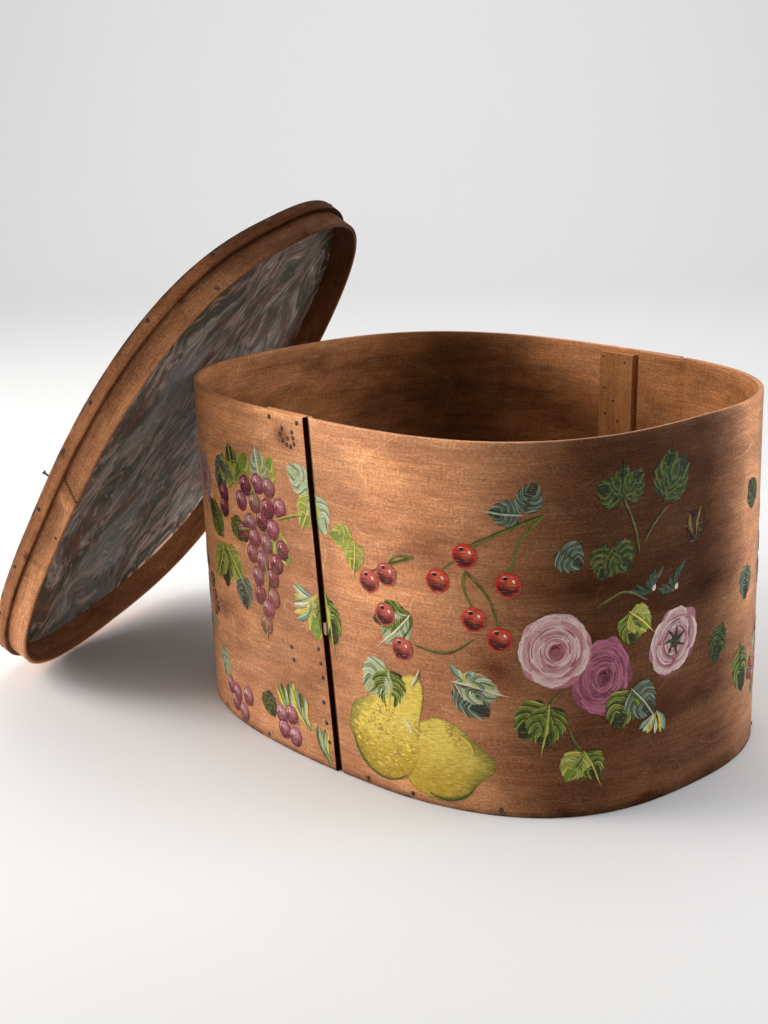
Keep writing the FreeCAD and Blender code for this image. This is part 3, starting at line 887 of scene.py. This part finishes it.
    def round_fruit(self, at, size, dark, main, light, pit=None, glint=None, rimc=None, layer=2):
        """Cherry, currant or grape: dark below left, warm middle, rim light, pit and glint."""
        def shade(x, y, r):
            low = smooth(0.55 - 0.55 * (y * 1.3 + x * 0.25) * 1.2)[..., None]
            warm = np.exp(-((x - 0.15) ** 2 + (y - 0.25) ** 2) / 0.16)[..., None]
            col = main * (1 - low) + dark * low
            col = col * (1 - 0.65 * warm) + light * 0.65 * warm
            if rimc is not None:
                k = (smooth((r - 0.78) / 0.14))[..., None]
                col = col * (1 - k) + rimc * k
            return col
        self.blob(at, size, shade, layer=layer)
        if pit is not None:
            p = (at[0] + pit[0], at[1] + pit[1])
            self.blob(p, (1.7, 1.4), lambda x, y, r: BLACK + 0 * r[..., None], layer=layer + 3, lift=0.1,
                      n=(14, 4))
            self.stroke([(p[0] - 2.3, p[1] + 0.6), (p[0], p[1] + 1.3), (p[0] + 2.0, p[1] + 1.0)], 0.9,
                        CREAM * 0.8, layer=layer + 2)
        if glint is not None:
            g = (at[0] + glint[0], at[1] + glint[1])
            self.stroke([(g[0] - 0.4, g[1] + 1.3), g, (g[0] + 0.8, g[1] - 1.3)], 1.9, WHITE, CREAM,
                        layer + 3, (0.4, 0.6))

    def arc(self, at, radius, a0, a1, width, inner, outer, layer=2, squash=1.0, turn=0.0, **more):
        """Curved petal stroke round a centre; the outer colour is on the far side."""
        t = np.radians(np.linspace(a0, a1, 9))
        x, y = radius * np.cos(t), radius * squash * np.sin(t)
        c, q = math.cos(math.radians(turn)), math.sin(math.radians(turn))
        pts = np.stack([at[0] + x * c - y * q, at[1] + x * q + y * c], -1)
        a, b = (inner, outer) if a1 < a0 else (outer, inner)
        self.stroke(pts, width, a, b, layer, **more)

    def fan(self, root, first, last, n, width, pairs, layer=2, bow=0.12):
        """Loose strokes from a line of tips in to one root."""
        root, first, last = (np.asarray(v, float) for v in (root, first, last))
        jig = np.random.default_rng(int(abs(root[0] * 13 + first[1] * 5)) + n)
        for i in range(n):
            tip = first + (last - first) * i / (n - 1) + jig.uniform(-2.2, 2.2, 2)
            foot = root + jig.uniform(-1.8, 1.8, 2)
            side = np.array([foot[1] - tip[1], tip[0] - foot[0]]) * bow * jig.uniform(0.3, 1.5)
            a, b = pairs[i % len(pairs)]
            self.stroke([tip, (tip + foot) / 2 + side, foot], width * jig.uniform(0.7, 1.2), a, b,
                        layer + 0.3 * (i % 4), (0.25, 0.6), streak=0.3, m=5)

    def rose(self, at, size, ground, petal, edge, deep, turn=0.0, layer=1):
        """Cupped rose: rings of overlapping petal strokes with dark creases, round a small cup."""
        squash = size[1] / size[0]
        jig = np.random.default_rng(int(abs(at[0] * 3 + at[1])))
        hollow = 0.6 * ground + 0.4 * deep

        def shade(x, y, r):
            k = smooth(0.5 - 0.7 * y + 0.4 * x)[..., None]
            return petal * (1 - k) + ground * k
        self.blob(at, (size[0] * 0.97, size[1] * 0.97), shade, turn, layer,
                  outline=lambda a: 1 + 0.05 * np.cos(5 * a))
        for ring, (reach, petals, width) in enumerate(((0.80, 5, 0.34), (0.56, 4, 0.28), (0.34, 3, 0.22))):
            for i in range(petals):
                start = 360.0 * (i + 0.5 * ring) / petals + jig.uniform(-12, 12)
                end = start + 360.0 / petals + 26
                radius = reach * size[0] * jig.uniform(0.95, 1.05)
                self.arc(at, radius, start, end, width * size[0], petal if i % 2 else ground, edge,
                         layer + 1 + ring, squash, turn, streak=0.26, m=9)
                crease = radius - 0.55 * width * size[0]
                self.arc(at, crease, start + 8, end - 10, 0.06 * size[0], deep, ground, layer + 2 + ring,
                         squash, turn)
        self.blob(at, (size[0] * 0.20, size[1] * 0.18), lambda x, y, r: hollow + 0 * r[..., None], turn,
                  layer + 5, 0.1)
        self.arc(at, 0.12 * size[0], 20, 200, 0.08 * size[0], deep * 0.5, deep, layer + 6, squash, turn)
        self.arc(at, 0.23 * size[0], 60, 250, 0.09 * size[0], petal, edge, layer + 6, squash, turn)


def curve(t0, values, t):
    """Smooth curve through values (monotone parameters), by cubic Hermite pieces."""
    d = np.gradient(values, t0)
    i = np.clip(np.searchsorted(t0, t, side="right") - 1, 0, len(t0) - 2)
    h = t0[i + 1] - t0[i]
    u = (t - t0[i]) / h
    return ((2 * u ** 3 - 3 * u ** 2 + 1) * values[i] + (u ** 3 - 2 * u ** 2 + u) * h * d[i]
            + (3 * u ** 2 - 2 * u ** 3) * values[i + 1] + (u ** 3 - u ** 2) * h * d[i + 1])


BLACK = rgb(0.07, 0.07, 0.06)
WHITE = rgb(0.94, 0.93, 0.88)
CREAM = rgb(0.88, 0.84, 0.70)
PALE = rgb(0.68, 0.72, 0.54)
GREEN = rgb(0.28, 0.39, 0.11)
BRIGHT = rgb(0.47, 0.57, 0.17)
DARK = rgb(0.12, 0.19, 0.07)
OLIVE = rgb(0.43, 0.44, 0.12)
LIME = rgb(0.70, 0.69, 0.24)
YELLOW = rgb(0.88, 0.80, 0.32)
GOLD = rgb(0.80, 0.60, 0.16)
TEAL = rgb(0.25, 0.41, 0.35)
MINT = rgb(0.62, 0.71, 0.59)
SLATE = rgb(0.15, 0.21, 0.16)
GREY = rgb(0.52, 0.56, 0.48)
MAROON = rgb(0.28, 0.07, 0.08)
CRIMSON = rgb(0.62, 0.12, 0.13)
RED = rgb(0.80, 0.19, 0.14)
SALMON = rgb(0.80, 0.36, 0.30)
ORANGE = rgb(0.82, 0.42, 0.26)
PLUM = rgb(0.38, 0.12, 0.21)
MAUVE = rgb(0.60, 0.33, 0.41)
DUSK = rgb(0.46, 0.21, 0.31)
PINK = rgb(0.83, 0.58, 0.61)
BLUSH = rgb(0.88, 0.76, 0.73)


def paint_material():
    k = Mat("oil_paint")
    bristle = k.noise(k.flat((150, 1300, 1.0)), 1.0, 4.0, 0.6)
    broken = k.noise(k.solid((420, 420, 420)), 1.0, 5.0, 0.6)
    patch = k.noise(k.solid((60, 60, 60), (2, 7, 1)), 1.0, 3.0)
    color = k.over(k.tint(), (0.06, 0.035, 0.02), bristle, ((0.35, 1.0), (0.56, 0.0)), 0.42)
    color = k.over(color, (0.72, 0.66, 0.55), bristle, ((0.54, 0.0), (0.70, 1.0)), 0.26)
    worn = k.math("ADD", k.math("MULTIPLY", broken, 0.62), k.math("MULTIPLY", patch, 0.38))
    color = k.over(color, (0.27, 0.105, 0.040), worn, ((0.575, 0.0), (0.625, 1.0)), 0.75)
    height = k.math("ADD", k.math("MULTIPLY", bristle, 1.0), k.math("MULTIPLY", broken, 0.35))
    return k.finish(color, k.ramp(broken, ((0.35, 0.34), (0.65, 0.52))), k.bump(height, 0.40, 0.0004),
                    Specular_IOR_Level=k.math("MULTIPLY_ADD", k.tint(), 0.40, 0.06))


OIL = paint_material()


PALE_LEAF = [(PALE, MINT), (GREEN, CREAM), (TEAL, PALE), (MINT, CREAM)]
SUNNY_LEAF = [(BRIGHT, LIME), (OLIVE, YELLOW), (LIME, YELLOW), (BRIGHT, PALE)]
BOLD_LEAF = [(DARK, GREEN), (GREEN, LIME), (GREEN, BRIGHT)]
COLD_LEAF = [(SLATE, GREY), (TEAL * 0.8, MINT), (SLATE, TEAL)]
DEEP_LEAF = [(DARK, SLATE), (GREEN, DARK), (DARK, OLIVE)]


def along(at, direction, reach):
    """The place a reach away, in a direction in degrees."""
    t = math.radians(direction)
    return at[0] + reach * math.cos(t), at[1] + reach * math.sin(t)


def leaf_groups(p, groups, layer=1):
    """Leaves that spread from their roots: root, directions, length, width and stroke colours."""
    for root, directions, length, width, colors in groups:
        for i, direction in enumerate(directions):
            pairs = colors[i % len(colors)]
            rib = pairs[1][1] if i % 2 else None
            p.leaf(root, along(root, direction, length), width, pairs, 0.9 * pairs[0][0], rib, 7, layer)


def front_leaves():
    p = Paint(fade=0.06)
    leaf_groups(p, (((20, 215), (150, 245, 290), 34, 22, (PALE_LEAF, SUNNY_LEAF)),
                    ((60, 188), (180, 265), 27, 18, (SUNNY_LEAF,)),
                    ((25, 145), (255, 280), 48, 20, (SUNNY_LEAF, BOLD_LEAF)),
                    ((108, 142), (195, 225), 38, 22, (BOLD_LEAF, PALE_LEAF)),
                    ((138, 98), (320, 350), 40, 21, (COLD_LEAF, PALE_LEAF)),
                    ((190, 220), (70, 175), 26, 18, (COLD_LEAF,)),
                    ((214, 196), (320,), 24, 22, (COLD_LEAF,))))
    leaf_groups(p, (((88, 98), (222, 268), 36, 30, (PALE_LEAF, BOLD_LEAF)),
                    ((208, 86), (230, 262), 36, 28, (BOLD_LEAF,)),
                    ((232, 50), (240, 295), 28, 21, (SUNNY_LEAF, BOLD_LEAF)),
                    ((268, 90), (245, 310), 34, 28, (BOLD_LEAF, COLD_LEAF)),
                    ((266, 146), (280, 320), 28, 21, (BOLD_LEAF, SUNNY_LEAF))), 4)
    for root, first, last in (((15, 134), (-8, 142), (-8, 112)), ((150, 100), (140, 112), (164, 92)),
                              ((290, 66), (276, 58), (300, 50))):
        p.fan(root, first, last, 7, 4.2, [(TEAL, MINT), (PALE, CREAM), (LIME, YELLOW)], 4)
    return p


def cherry_sprig(p, root, cherries, main, light):
    """Cherries on bowed stems from one root."""
    for i, at in enumerate(cherries):
        bend = ((root[0] + at[0]) / 2 + (4 if i % 2 else -4), (root[1] + at[1]) / 2 + 6)
        p.stroke([root, bend, (at[0], at[1] + 6)], [2.2, 1.7, 1.5], DARK if i % 2 else GREEN, OLIVE, 4,
                 (0.08, 0.15), streak=0.3)
        p.round_fruit(at, (8.9, 8.8), MAROON, main, light, (-2.0, 4.8), (3.8, 2.8), main * 0.9, 5)


def cherries():
    p = Paint(fade=0.0)
    cherry_sprig(p, (204, 220), ((180, 171), (150, 190), (130, 170)), RED, ORANGE)
    cherry_sprig(p, (150, 180), ((156, 145), (174, 132)), RED, ORANGE)
    cherry_sprig(p, (112, 184), ((88, 168), (72, 160)), SALMON * 0.9, SALMON)
    cherry_sprig(p, (108, 142), ((86, 138), (100, 115)), SALMON * 0.85, SALMON)
    for first, middle, last in (((110, 120), (135, 118), (158, 132)), ((216, 94), (211, 89), (207, 82)),
                                ((262, 226), (272, 202), (276, 184)), ((304, 214), (292, 206), (279, 192)),
                                ((240, 152), (262, 160), (284, 150)), ((221, 68), (225, 58), (231, 48))):
        p.stroke([first, middle, last], [1.4, 2.2, 1.4], SLATE, OLIVE, 4, (0.08, 0.15), streak=0.3)
    return p


def pear_outline(body, bumps):
    """Radius in mm round a pear: a round body and soft bumps (direction, reach in degrees, height)."""
    def radius(angle):
        deg = np.degrees(angle)
        return body + sum(height * np.exp(-(((deg - at + 180.0) % 360.0 - 180.0) / reach) ** 2)
                          for at, reach, height in bumps)
    return radius


def pears():
    p = Paint(fade=0.02)
    butter, ochre, green = rgb(0.86, 0.75, 0.30), rgb(0.72, 0.59, 0.14), rgb(0.46, 0.44, 0.11)
    cream = rgb(0.97, 0.91, 0.58)

    def shade(side):
        def go(x, y, r):
            x, y = x / 34.0, y / 34.0
            k = smooth(0.45 - 0.8 * y + 0.25 * fbm(x * 3, y * 3, 50))[..., None]
            col = butter * (1 - k) + ochre * k
            q = (smooth((r - 0.50) / 0.5) * smooth(0.15 - x * side) * 0.85)[..., None]
            col = col * (1 - q) + green * q
            for speck_color, seed, cover in ((cream, 51, 0.5), (green * 0.8, 52, 0.8)):
                speck = (smooth(fbm(x * 24, y * 22, seed) * 1.5 - cover) * 0.6)[..., None]
                col = col * (1 - speck) + speck_color * speck
            rim = smooth((r - 0.95) / 0.05)[..., None] * 0.6
            return col * (1 - rim) + green * 0.5 * rim
        return go

    lying, standing = (132, 36), (81, 42)
    p.blob(lying, (1, 1), shade(-1), 0, 0, 0.3, pear_outline(30, ((0, 16, 10), (180, 60, 9))), (120, 30))
    p.blob(standing, (1, 1), shade(1), 0, 3, 0.3, pear_outline(32, ((60, 21, 31), (150, 35, 4))), (140, 34))
    jig = np.random.default_rng(5)
    for at, reach, count, layer in ((lying, 24, 120, 2), (standing, 28, 230, 6)):
        for _ in range(count):
            r = reach * math.sqrt(jig.uniform(0, 1))
            s, z = along(at, jig.uniform(0, 360), r)
            light = jig.uniform() < 0.45 + 0.5 * (z - at[1]) / reach
            c = (butter * 1.12 if light else ochre * 0.95) * jig.uniform(0.85, 1.12)
            slope, half = jig.uniform(-35, 30), jig.uniform(1.2, 3.2)
            p.stroke([along((s, z), slope + 180, half), (s, z), along((s, z), slope, half)],
                     jig.uniform(1.6, 3.2), c, c * 0.93, layer, m=5, lift=0.09)
    tip = along(standing, 60, 61)
    p.stroke([along(tip, 240, 8), tip, along(tip, 70, 9)], [2.0, 3.0, 2.0], OLIVE, CREAM, 8)
    p.arc(standing, 31, 190, 320, 2.6, OLIVE, SLATE, 8)
    p.arc(lying, 29, 245, 330, 2.6, OLIVE, SLATE, 8)
    p.arc(standing, 27, 20, 50, 4.0, YELLOW, CREAM, 8)
    p.arc(lying, 25, 20, 75, 3.2, GOLD, YELLOW, 8)
    return p


def roses():
    p = Paint(fade=0.0)
    heather = MAUVE * 1.35
    p.rose((246, 102), (23, 28), DUSK, MAUVE, heather, PLUM * 0.7, -8, 1)
    p.rose((212, 124), (26, 28), rgb(0.70, 0.42, 0.45), rgb(0.82, 0.59, 0.60), BLUSH * 0.92,
           rgb(0.46, 0.17, 0.21), 0, 12)
    open_rose = (310, 115)
    p.rose(open_rose, (27, 22), MAUVE * 0.9, rgb(0.66, 0.46, 0.50), BLUSH * 0.9, DUSK * 0.7, 40, 3)
    for turn in range(20, 380, 51):
        p.stroke([open_rose, along(open_rose, turn, 6), along(open_rose, turn + 8, 12)], 2.6, SLATE, DARK, 12,
                 (0.2, 0.6))
    return p


def dark_side():
    """Darker leaves and buds toward the right-hand end."""
    p = Paint(fade=0.0)
    leaf_groups(p, (((252, 194), (250, 310), 27, 26, (DEEP_LEAF,)),
                    ((262, 224), (145, 90, 50), 27, 22, (DEEP_LEAF,)),
                    ((298, 216), (48, 75), 42, 27, (DEEP_LEAF,)),
                    ((368, 116), (245,), 36, 17, (DEEP_LEAF,)), ((392, 92), (275,), 46, 24, (BOLD_LEAF,)),
                    ((404, 150), (260,), 32, 20, (COLD_LEAF,)), ((420, 190), (125,), 28, 22, (DEEP_LEAF,))))
    p.blob((332, 193), (9.5, 12.5), lambda x, y, r: MAROON * (0.30 + 0.15 * y[..., None]), 14, 1)
    p.fan((332, 184), (324, 200), (342, 206), 5, 4.0, [(SLATE * 0.7, MAROON * 0.7), (MAROON, GOLD * 0.6)], 3)
    for root in ((288, 156), (311, 152)):
        p.fan(root, along(root, 60, 20), along(root, 165, 20), 6, 4.4, [(DARK, TEAL * 0.6)], 2)
        p.stroke([root, along(root, 60, 5)], 3.4, CREAM, BLUSH, 5)
    return p


def grape_bunch(p, top, rows, colors, fade):
    """Grapes in rows, from the top of the bunch to its tip; each row is a little more faded."""
    jig = np.random.default_rng(int(abs(top[0])))
    for row, count in enumerate(rows):
        p.fade = fade[0] + fade[1] * row
        for i in range(count):
            s = top[0] + 15 * (i - (count - 1) / 2) + jig.uniform(-3, 3)
            at = (s, top[1] - 14 * row + jig.uniform(-3, 3))
            dark, main, light = colors[(row + i) % len(colors)]
            p.round_fruit(at, (7.5, 8.3), dark, main, light, None, (-1.6, 2.6), None, 4 + i % 3)
            p.arc(at, 5.2, 85, 190, 2.4, light, PINK, 9)
            p.arc(at, 4.3, 200, 330, 2.2, main, dark, 9)


def grapes():
    """Faded bunches of grapes with brushed leaves, left of the seam."""
    p = Paint(fade=0.08)
    leaf_groups(p, (((-74, 202), (60, 105, 150), 36, 21, (SUNNY_LEAF, BOLD_LEAF)),
                    ((-40, 210), (55, 100), 30, 22, (SUNNY_LEAF, PALE_LEAF)),
                    ((-92, 228), (252,), 44, 20, (COLD_LEAF,)), ((-34, 178), (315,), 36, 19, (SUNNY_LEAF,)),
                    ((-84, 178), (300,), 25, 18, (BOLD_LEAF,)),
                    ((-102, 152), (130, 240, 265, 315), 42, 22, (BOLD_LEAF, SUNNY_LEAF)),
                    ((-76, 132), (275,), 32, 23, (COLD_LEAF,)), ((-128, 60), (290,), 34, 20, (PALE_LEAF,)),
                    ((-56, 42), (300,), 26, 19, (DEEP_LEAF,))))
    for root, first, last in (((-12, 26), (-38, 50), (-16, 58)), ((2, 24), (-18, 56), (-2, 50)),
                              ((24, 5), (6, 32), (22, 28))):
        p.fan(root, first, last, 9, 4.5, [(LIME, YELLOW), (GREEN, LIME), (DARK, GREEN), (TEAL, MINT)], 3)
    wine, rose, shadow = rgb(0.52, 0.10, 0.24), rgb(0.60, 0.25, 0.35), rgb(0.26, 0.05, 0.12)
    haze, deep = rgb(0.54, 0.31, 0.33), rgb(0.40, 0.16, 0.22)
    ripe = ((shadow, wine, rose), (wine * 0.8, rose * 0.85, PINK * 0.9), (deep, haze, PINK * 0.85))
    grape_bunch(p, (-44, 207), (3, 4, 3, 4, 3, 2, 2, 1, 1), ripe, (0.03, 0.05))
    grape_bunch(p, (-97, 192), (1, 1), ripe[:1], (0.03, 0.0))
    grape_bunch(p, (-100, 27), (3, 2), ((PLUM, MAUVE, PINK), (PLUM, rose * 0.9, PINK)), (0.20, 0.0))
    grape_bunch(p, (-26, 30), (2, 2), ((PLUM, MAUVE, PINK), (PLUM, rose * 0.9, PINK)), (0.08, 0.0))
    p.fade = 0.16
    for top, foot in (((-24, 186), (14, 197)), ((-57, 214), (-46, 188)), ((-42, 150), (-41, 122)),
                      ((-74, 168), (-50, 170)), ((-50, 108), (-46, 84))):
        middle = ((top[0] + foot[0]) / 2 + 2, (top[1] + foot[1]) / 2 + 2)
        p.stroke([top, middle, foot], 2.2, GREEN, LIME, 9)
    p.rose((-138, 196), (16, 21), PINK * 0.6, PINK * 0.8, BLUSH * 0.8, DUSK, 0, 1)
    return p


def spray(p, s, z, way=1, size=1.0, tone=0):
    """A rose or two with leaves and berries, for the faces round the back."""
    def at(x, y):
        return s + way * size * x, z + size * y
    sets = [[(GREEN, LIME), (DARK, GREEN)], [(PALE, CREAM), (OLIVE, LIME)], [(TEAL, MINT), (SLATE, GREY)]]
    spots = ((-38, 22, -66, 40), (-30, -28, -58, -46), (34, 26, 62, 48), (36, -26, 64, -44), (4, 36, 12, 66),
             (-4, -36, -14, -62))
    for i, (x0, y0, x1, y1) in enumerate(spots):
        p.leaf(at(x0, y0), at(x1, y1), 24 * size, sets[(i + tone) % 3], (DARK, OLIVE, SLATE)[(i + tone) % 3],
               (LIME, CREAM, PALE)[(i + tone) % 3], 6)
        p.stroke([at(x0 * 0.3, y0 * 0.3), at(x0 * 0.7, y0 * 0.5), at(x0, y0)], 1.8, OLIVE, DARK, 3)
    p.rose(at(-14, 2), (25 * size, 27 * size), PINK * 0.72, PINK, BLUSH, DUSK, 10 * way, 3)
    p.rose(at(22, -6), (22 * size, 24 * size), DUSK, MAUVE * 1.2, PINK, PLUM * 0.6, -14 * way, 1)
    berries = ((-62, 10), (-72, -6), (-58, -16), (66, 8), (76, -8), (60, -14), (30, 54), (-26, 52))
    for i, (x, y) in enumerate(berries):
        p.stroke([at(x * 0.6, y * 0.5), at(x * 0.85, y * 0.9 + 5), at(x, y)], 1.3, DARK, OLIVE, 2)
        p.round_fruit(at(x, y), (7.5 * size, 7.8 * size), MAROON, (RED, CRIMSON, SALMON)[i % 3], ORANGE,
                      (0.5, 4.0), (2.6, 2.2), CRIMSON, 4)


BACK_SPRAYS = ((520, 140, 1, 1.05, 0), (-560, 128, -1, 1.15, 1), (-270, 138, 1, 1.05, 2), (655, 84, 1, 0.7, 1),
               (-415, 176, -1, 0.75, 2), (-420, 66, 1, 0.7, 0), (-170, 92, -1, 0.55, 0), (450, 62, -1, 0.5, 2),
               (640, 206, -1, 0.55, 0))


def back_sprays(first):
    """Every second spray, so that each of the two pieces stays light."""
    p = Paint(fade=0.12)
    for s, z, way, size, tone in BACK_SPRAYS[first::2]:
        spray(p, s, z, way, size, tone)
    return p


def lid_sprays():
    p = Paint(on_lid, fade=0.10)
    for s, z, way, size, tone in ((0, 0, 1, 1.3, 0), (-128, 18, -1, 0.95, 1), (128, -14, 1, 0.95, 2),
                                  (-30, 112, 1, 0.7, 2), (40, -116, -1, 0.7, 1)):
        spray(p, s, z, way, size, tone)
    return p


for name, make, body, slot in (
        ("paint_leaves", front_leaves, "box", "box_wood"), ("paint_cherries", cherries, "box", "box_wood"),
        ("paint_pears", pears, "box", "box_wood"), ("paint_roses", roses, "box", "box_wood"),
        ("paint_dark_leaves", dark_side, "box", "box_wood"), ("paint_grapes", grapes, "box", "box_wood"),
        ("paint_back_a", lambda: back_sprays(0), "box", "box_wood"),
        ("paint_back_b", lambda: back_sprays(1), "box", "box_wood"), ("paint_lid", lid_sprays, "lid", "lid_top_wood")):
    make().obj(name, OIL, body, slot, smooth_deg=60)


# ---------------------------------------------------------------- floor, light and camera
# the run of the floor away from the camera, the bend up into the backdrop, and its size, in metres
FLOOR_START, FLOOR_END, BEND = -4.0, 2.4, 1.2
WALL_TOP, HALF_WIDTH = 5.2, 5.0


def ground():
    k = Mat("pale_ground")
    n = k.noise(k.solid((400, 400, 400)), 1.0, 3.0)
    m = k.finish(k.mix(1.0, k.mix(n, (0.79, 0.785, 0.775), (0.815, 0.81, 0.80)), k.tint(), "MULTIPLY"), 0.9,
                 Specular_IOR_Level=0.2)
    b = Build()
    across = np.linspace(-HALF_WIDTH, HALF_WIDTH, 60)
    back = Vector((-0.72, 0.69, 0)).normalized()
    side = Vector((0.69, 0.72, 0)).normalized()
    bend = np.linspace(0.05, 1, 40) * math.pi / 2
    run = np.concatenate([np.linspace(FLOOR_START, FLOOR_END, 70), FLOOR_END + BEND * np.sin(bend),
                          [FLOOR_END + BEND]])
    rise = np.concatenate([np.zeros(70), BEND * (1 - np.cos(bend)), [WALL_TOP]])
    pts = (run[:, None, None] * np.array(back) + across[None, :, None] * np.array(side)
           + rise[:, None, None] * np.array([0, 0, 1.0]))
    pts[..., 2] -= 0.0002
    b.grid(pts, np.zeros((*pts.shape[:2], 2)))
    # painted shade: the floor darker toward the camera
    near = 1.0 - 0.17 * smooth((0.1 - run) / 0.9)[:, None, None] * np.ones((1, len(across), 3))
    me = bpy.data.meshes.new("ground")
    me.from_pydata([tuple(p) for p in b.v[0].tolist()], [], [tuple(int(i) for i in q) for q in b.f[0]])
    me.polygons.foreach_set("use_smooth", [True] * len(me.polygons))
    col = me.color_attributes.new(name="tint", type="FLOAT_COLOR", domain="POINT")
    rgba = np.concatenate([near.reshape(-1, 3), np.ones((near.size // 3, 1))], 1)
    col.data.foreach_set("color", rgba.astype(np.float32).ravel())
    ob = bpy.data.objects.new("ground", me)
    bpy.context.scene.collection.objects.link(ob)
    me.materials.append(m)


ground()


def area_light(name, at, to, size, power, color=(1, 1, 1), spread=180):
    l = bpy.data.lights.new(name, "AREA")
    l.shape, l.size, l.energy, l.color = "DISK", size, power, color
    l.spread = math.radians(spread)
    ob = bpy.data.objects.new(name, l)
    ob.location = at
    ob.rotation_mode = "QUATERNION"
    ob.rotation_quaternion = (Vector(to) - Vector(at)).to_track_quat("-Z", "Y")
    bpy.context.scene.collection.objects.link(ob)


area_light("key", (-1.25, -1.75, 1.65), (0, 0, 0.12), 1.2, 29.5, (1.0, 0.97, 0.93))
area_light("low_fill", (-1.9, -1.3, 0.45), (-0.3, -0.1, 0.10), 1.9, 24, (1.0, 0.99, 0.97), 100)
area_light("fill", (1.5, 1.4, 0.9), (0.1, 0, 0.1), 1.4, 8, (0.95, 0.97, 1.0), 110)
area_light("backdrop_light", (-1.0, 0.96, 3.0), (-2.5, 2.4, 0.9), 2.6, 18, (1.0, 0.99, 0.98), 120)
area_light("top", (-0.3, 0.5, 2.4), (0, 0, 0), 1.8, 14, (1.0, 0.99, 0.97))

world = bpy.data.worlds.new("soft_room")
world.use_nodes = True
world.node_tree.nodes["Background"].inputs[0].default_value = (0.93, 0.95, 1.0, 1.0)
world.node_tree.nodes["Background"].inputs[1].default_value = 0.49
bpy.context.scene.world = world
bpy.context.scene.view_settings.view_transform = "Standard"

cam = bpy.data.cameras.new("camera")
cam.sensor_width = 36.0
cam.lens = 55.52
cam.dof.use_dof = False
eye = bpy.data.objects.new("camera", cam)
EYE_PLACE = Vector((0.862, -0.861, 0.510))
AZIMUTH, ELEVATION, ROLL = (math.radians(v) for v in (48.3, 16.0, -1.5))
eye.matrix_world = (Matrix.Translation(EYE_PLACE) @ Matrix.Rotation(AZIMUTH, 4, "Z")
                    @ Matrix.Rotation(math.pi / 2 - ELEVATION, 4, "X") @ Matrix.Rotation(ROLL, 4, "Z"))
cam.clip_start, cam.clip_end = 0.02, 50
bpy.context.scene.collection.objects.link(eye)
bpy.context.scene.camera = eye

bpy.context.view_layer.update()
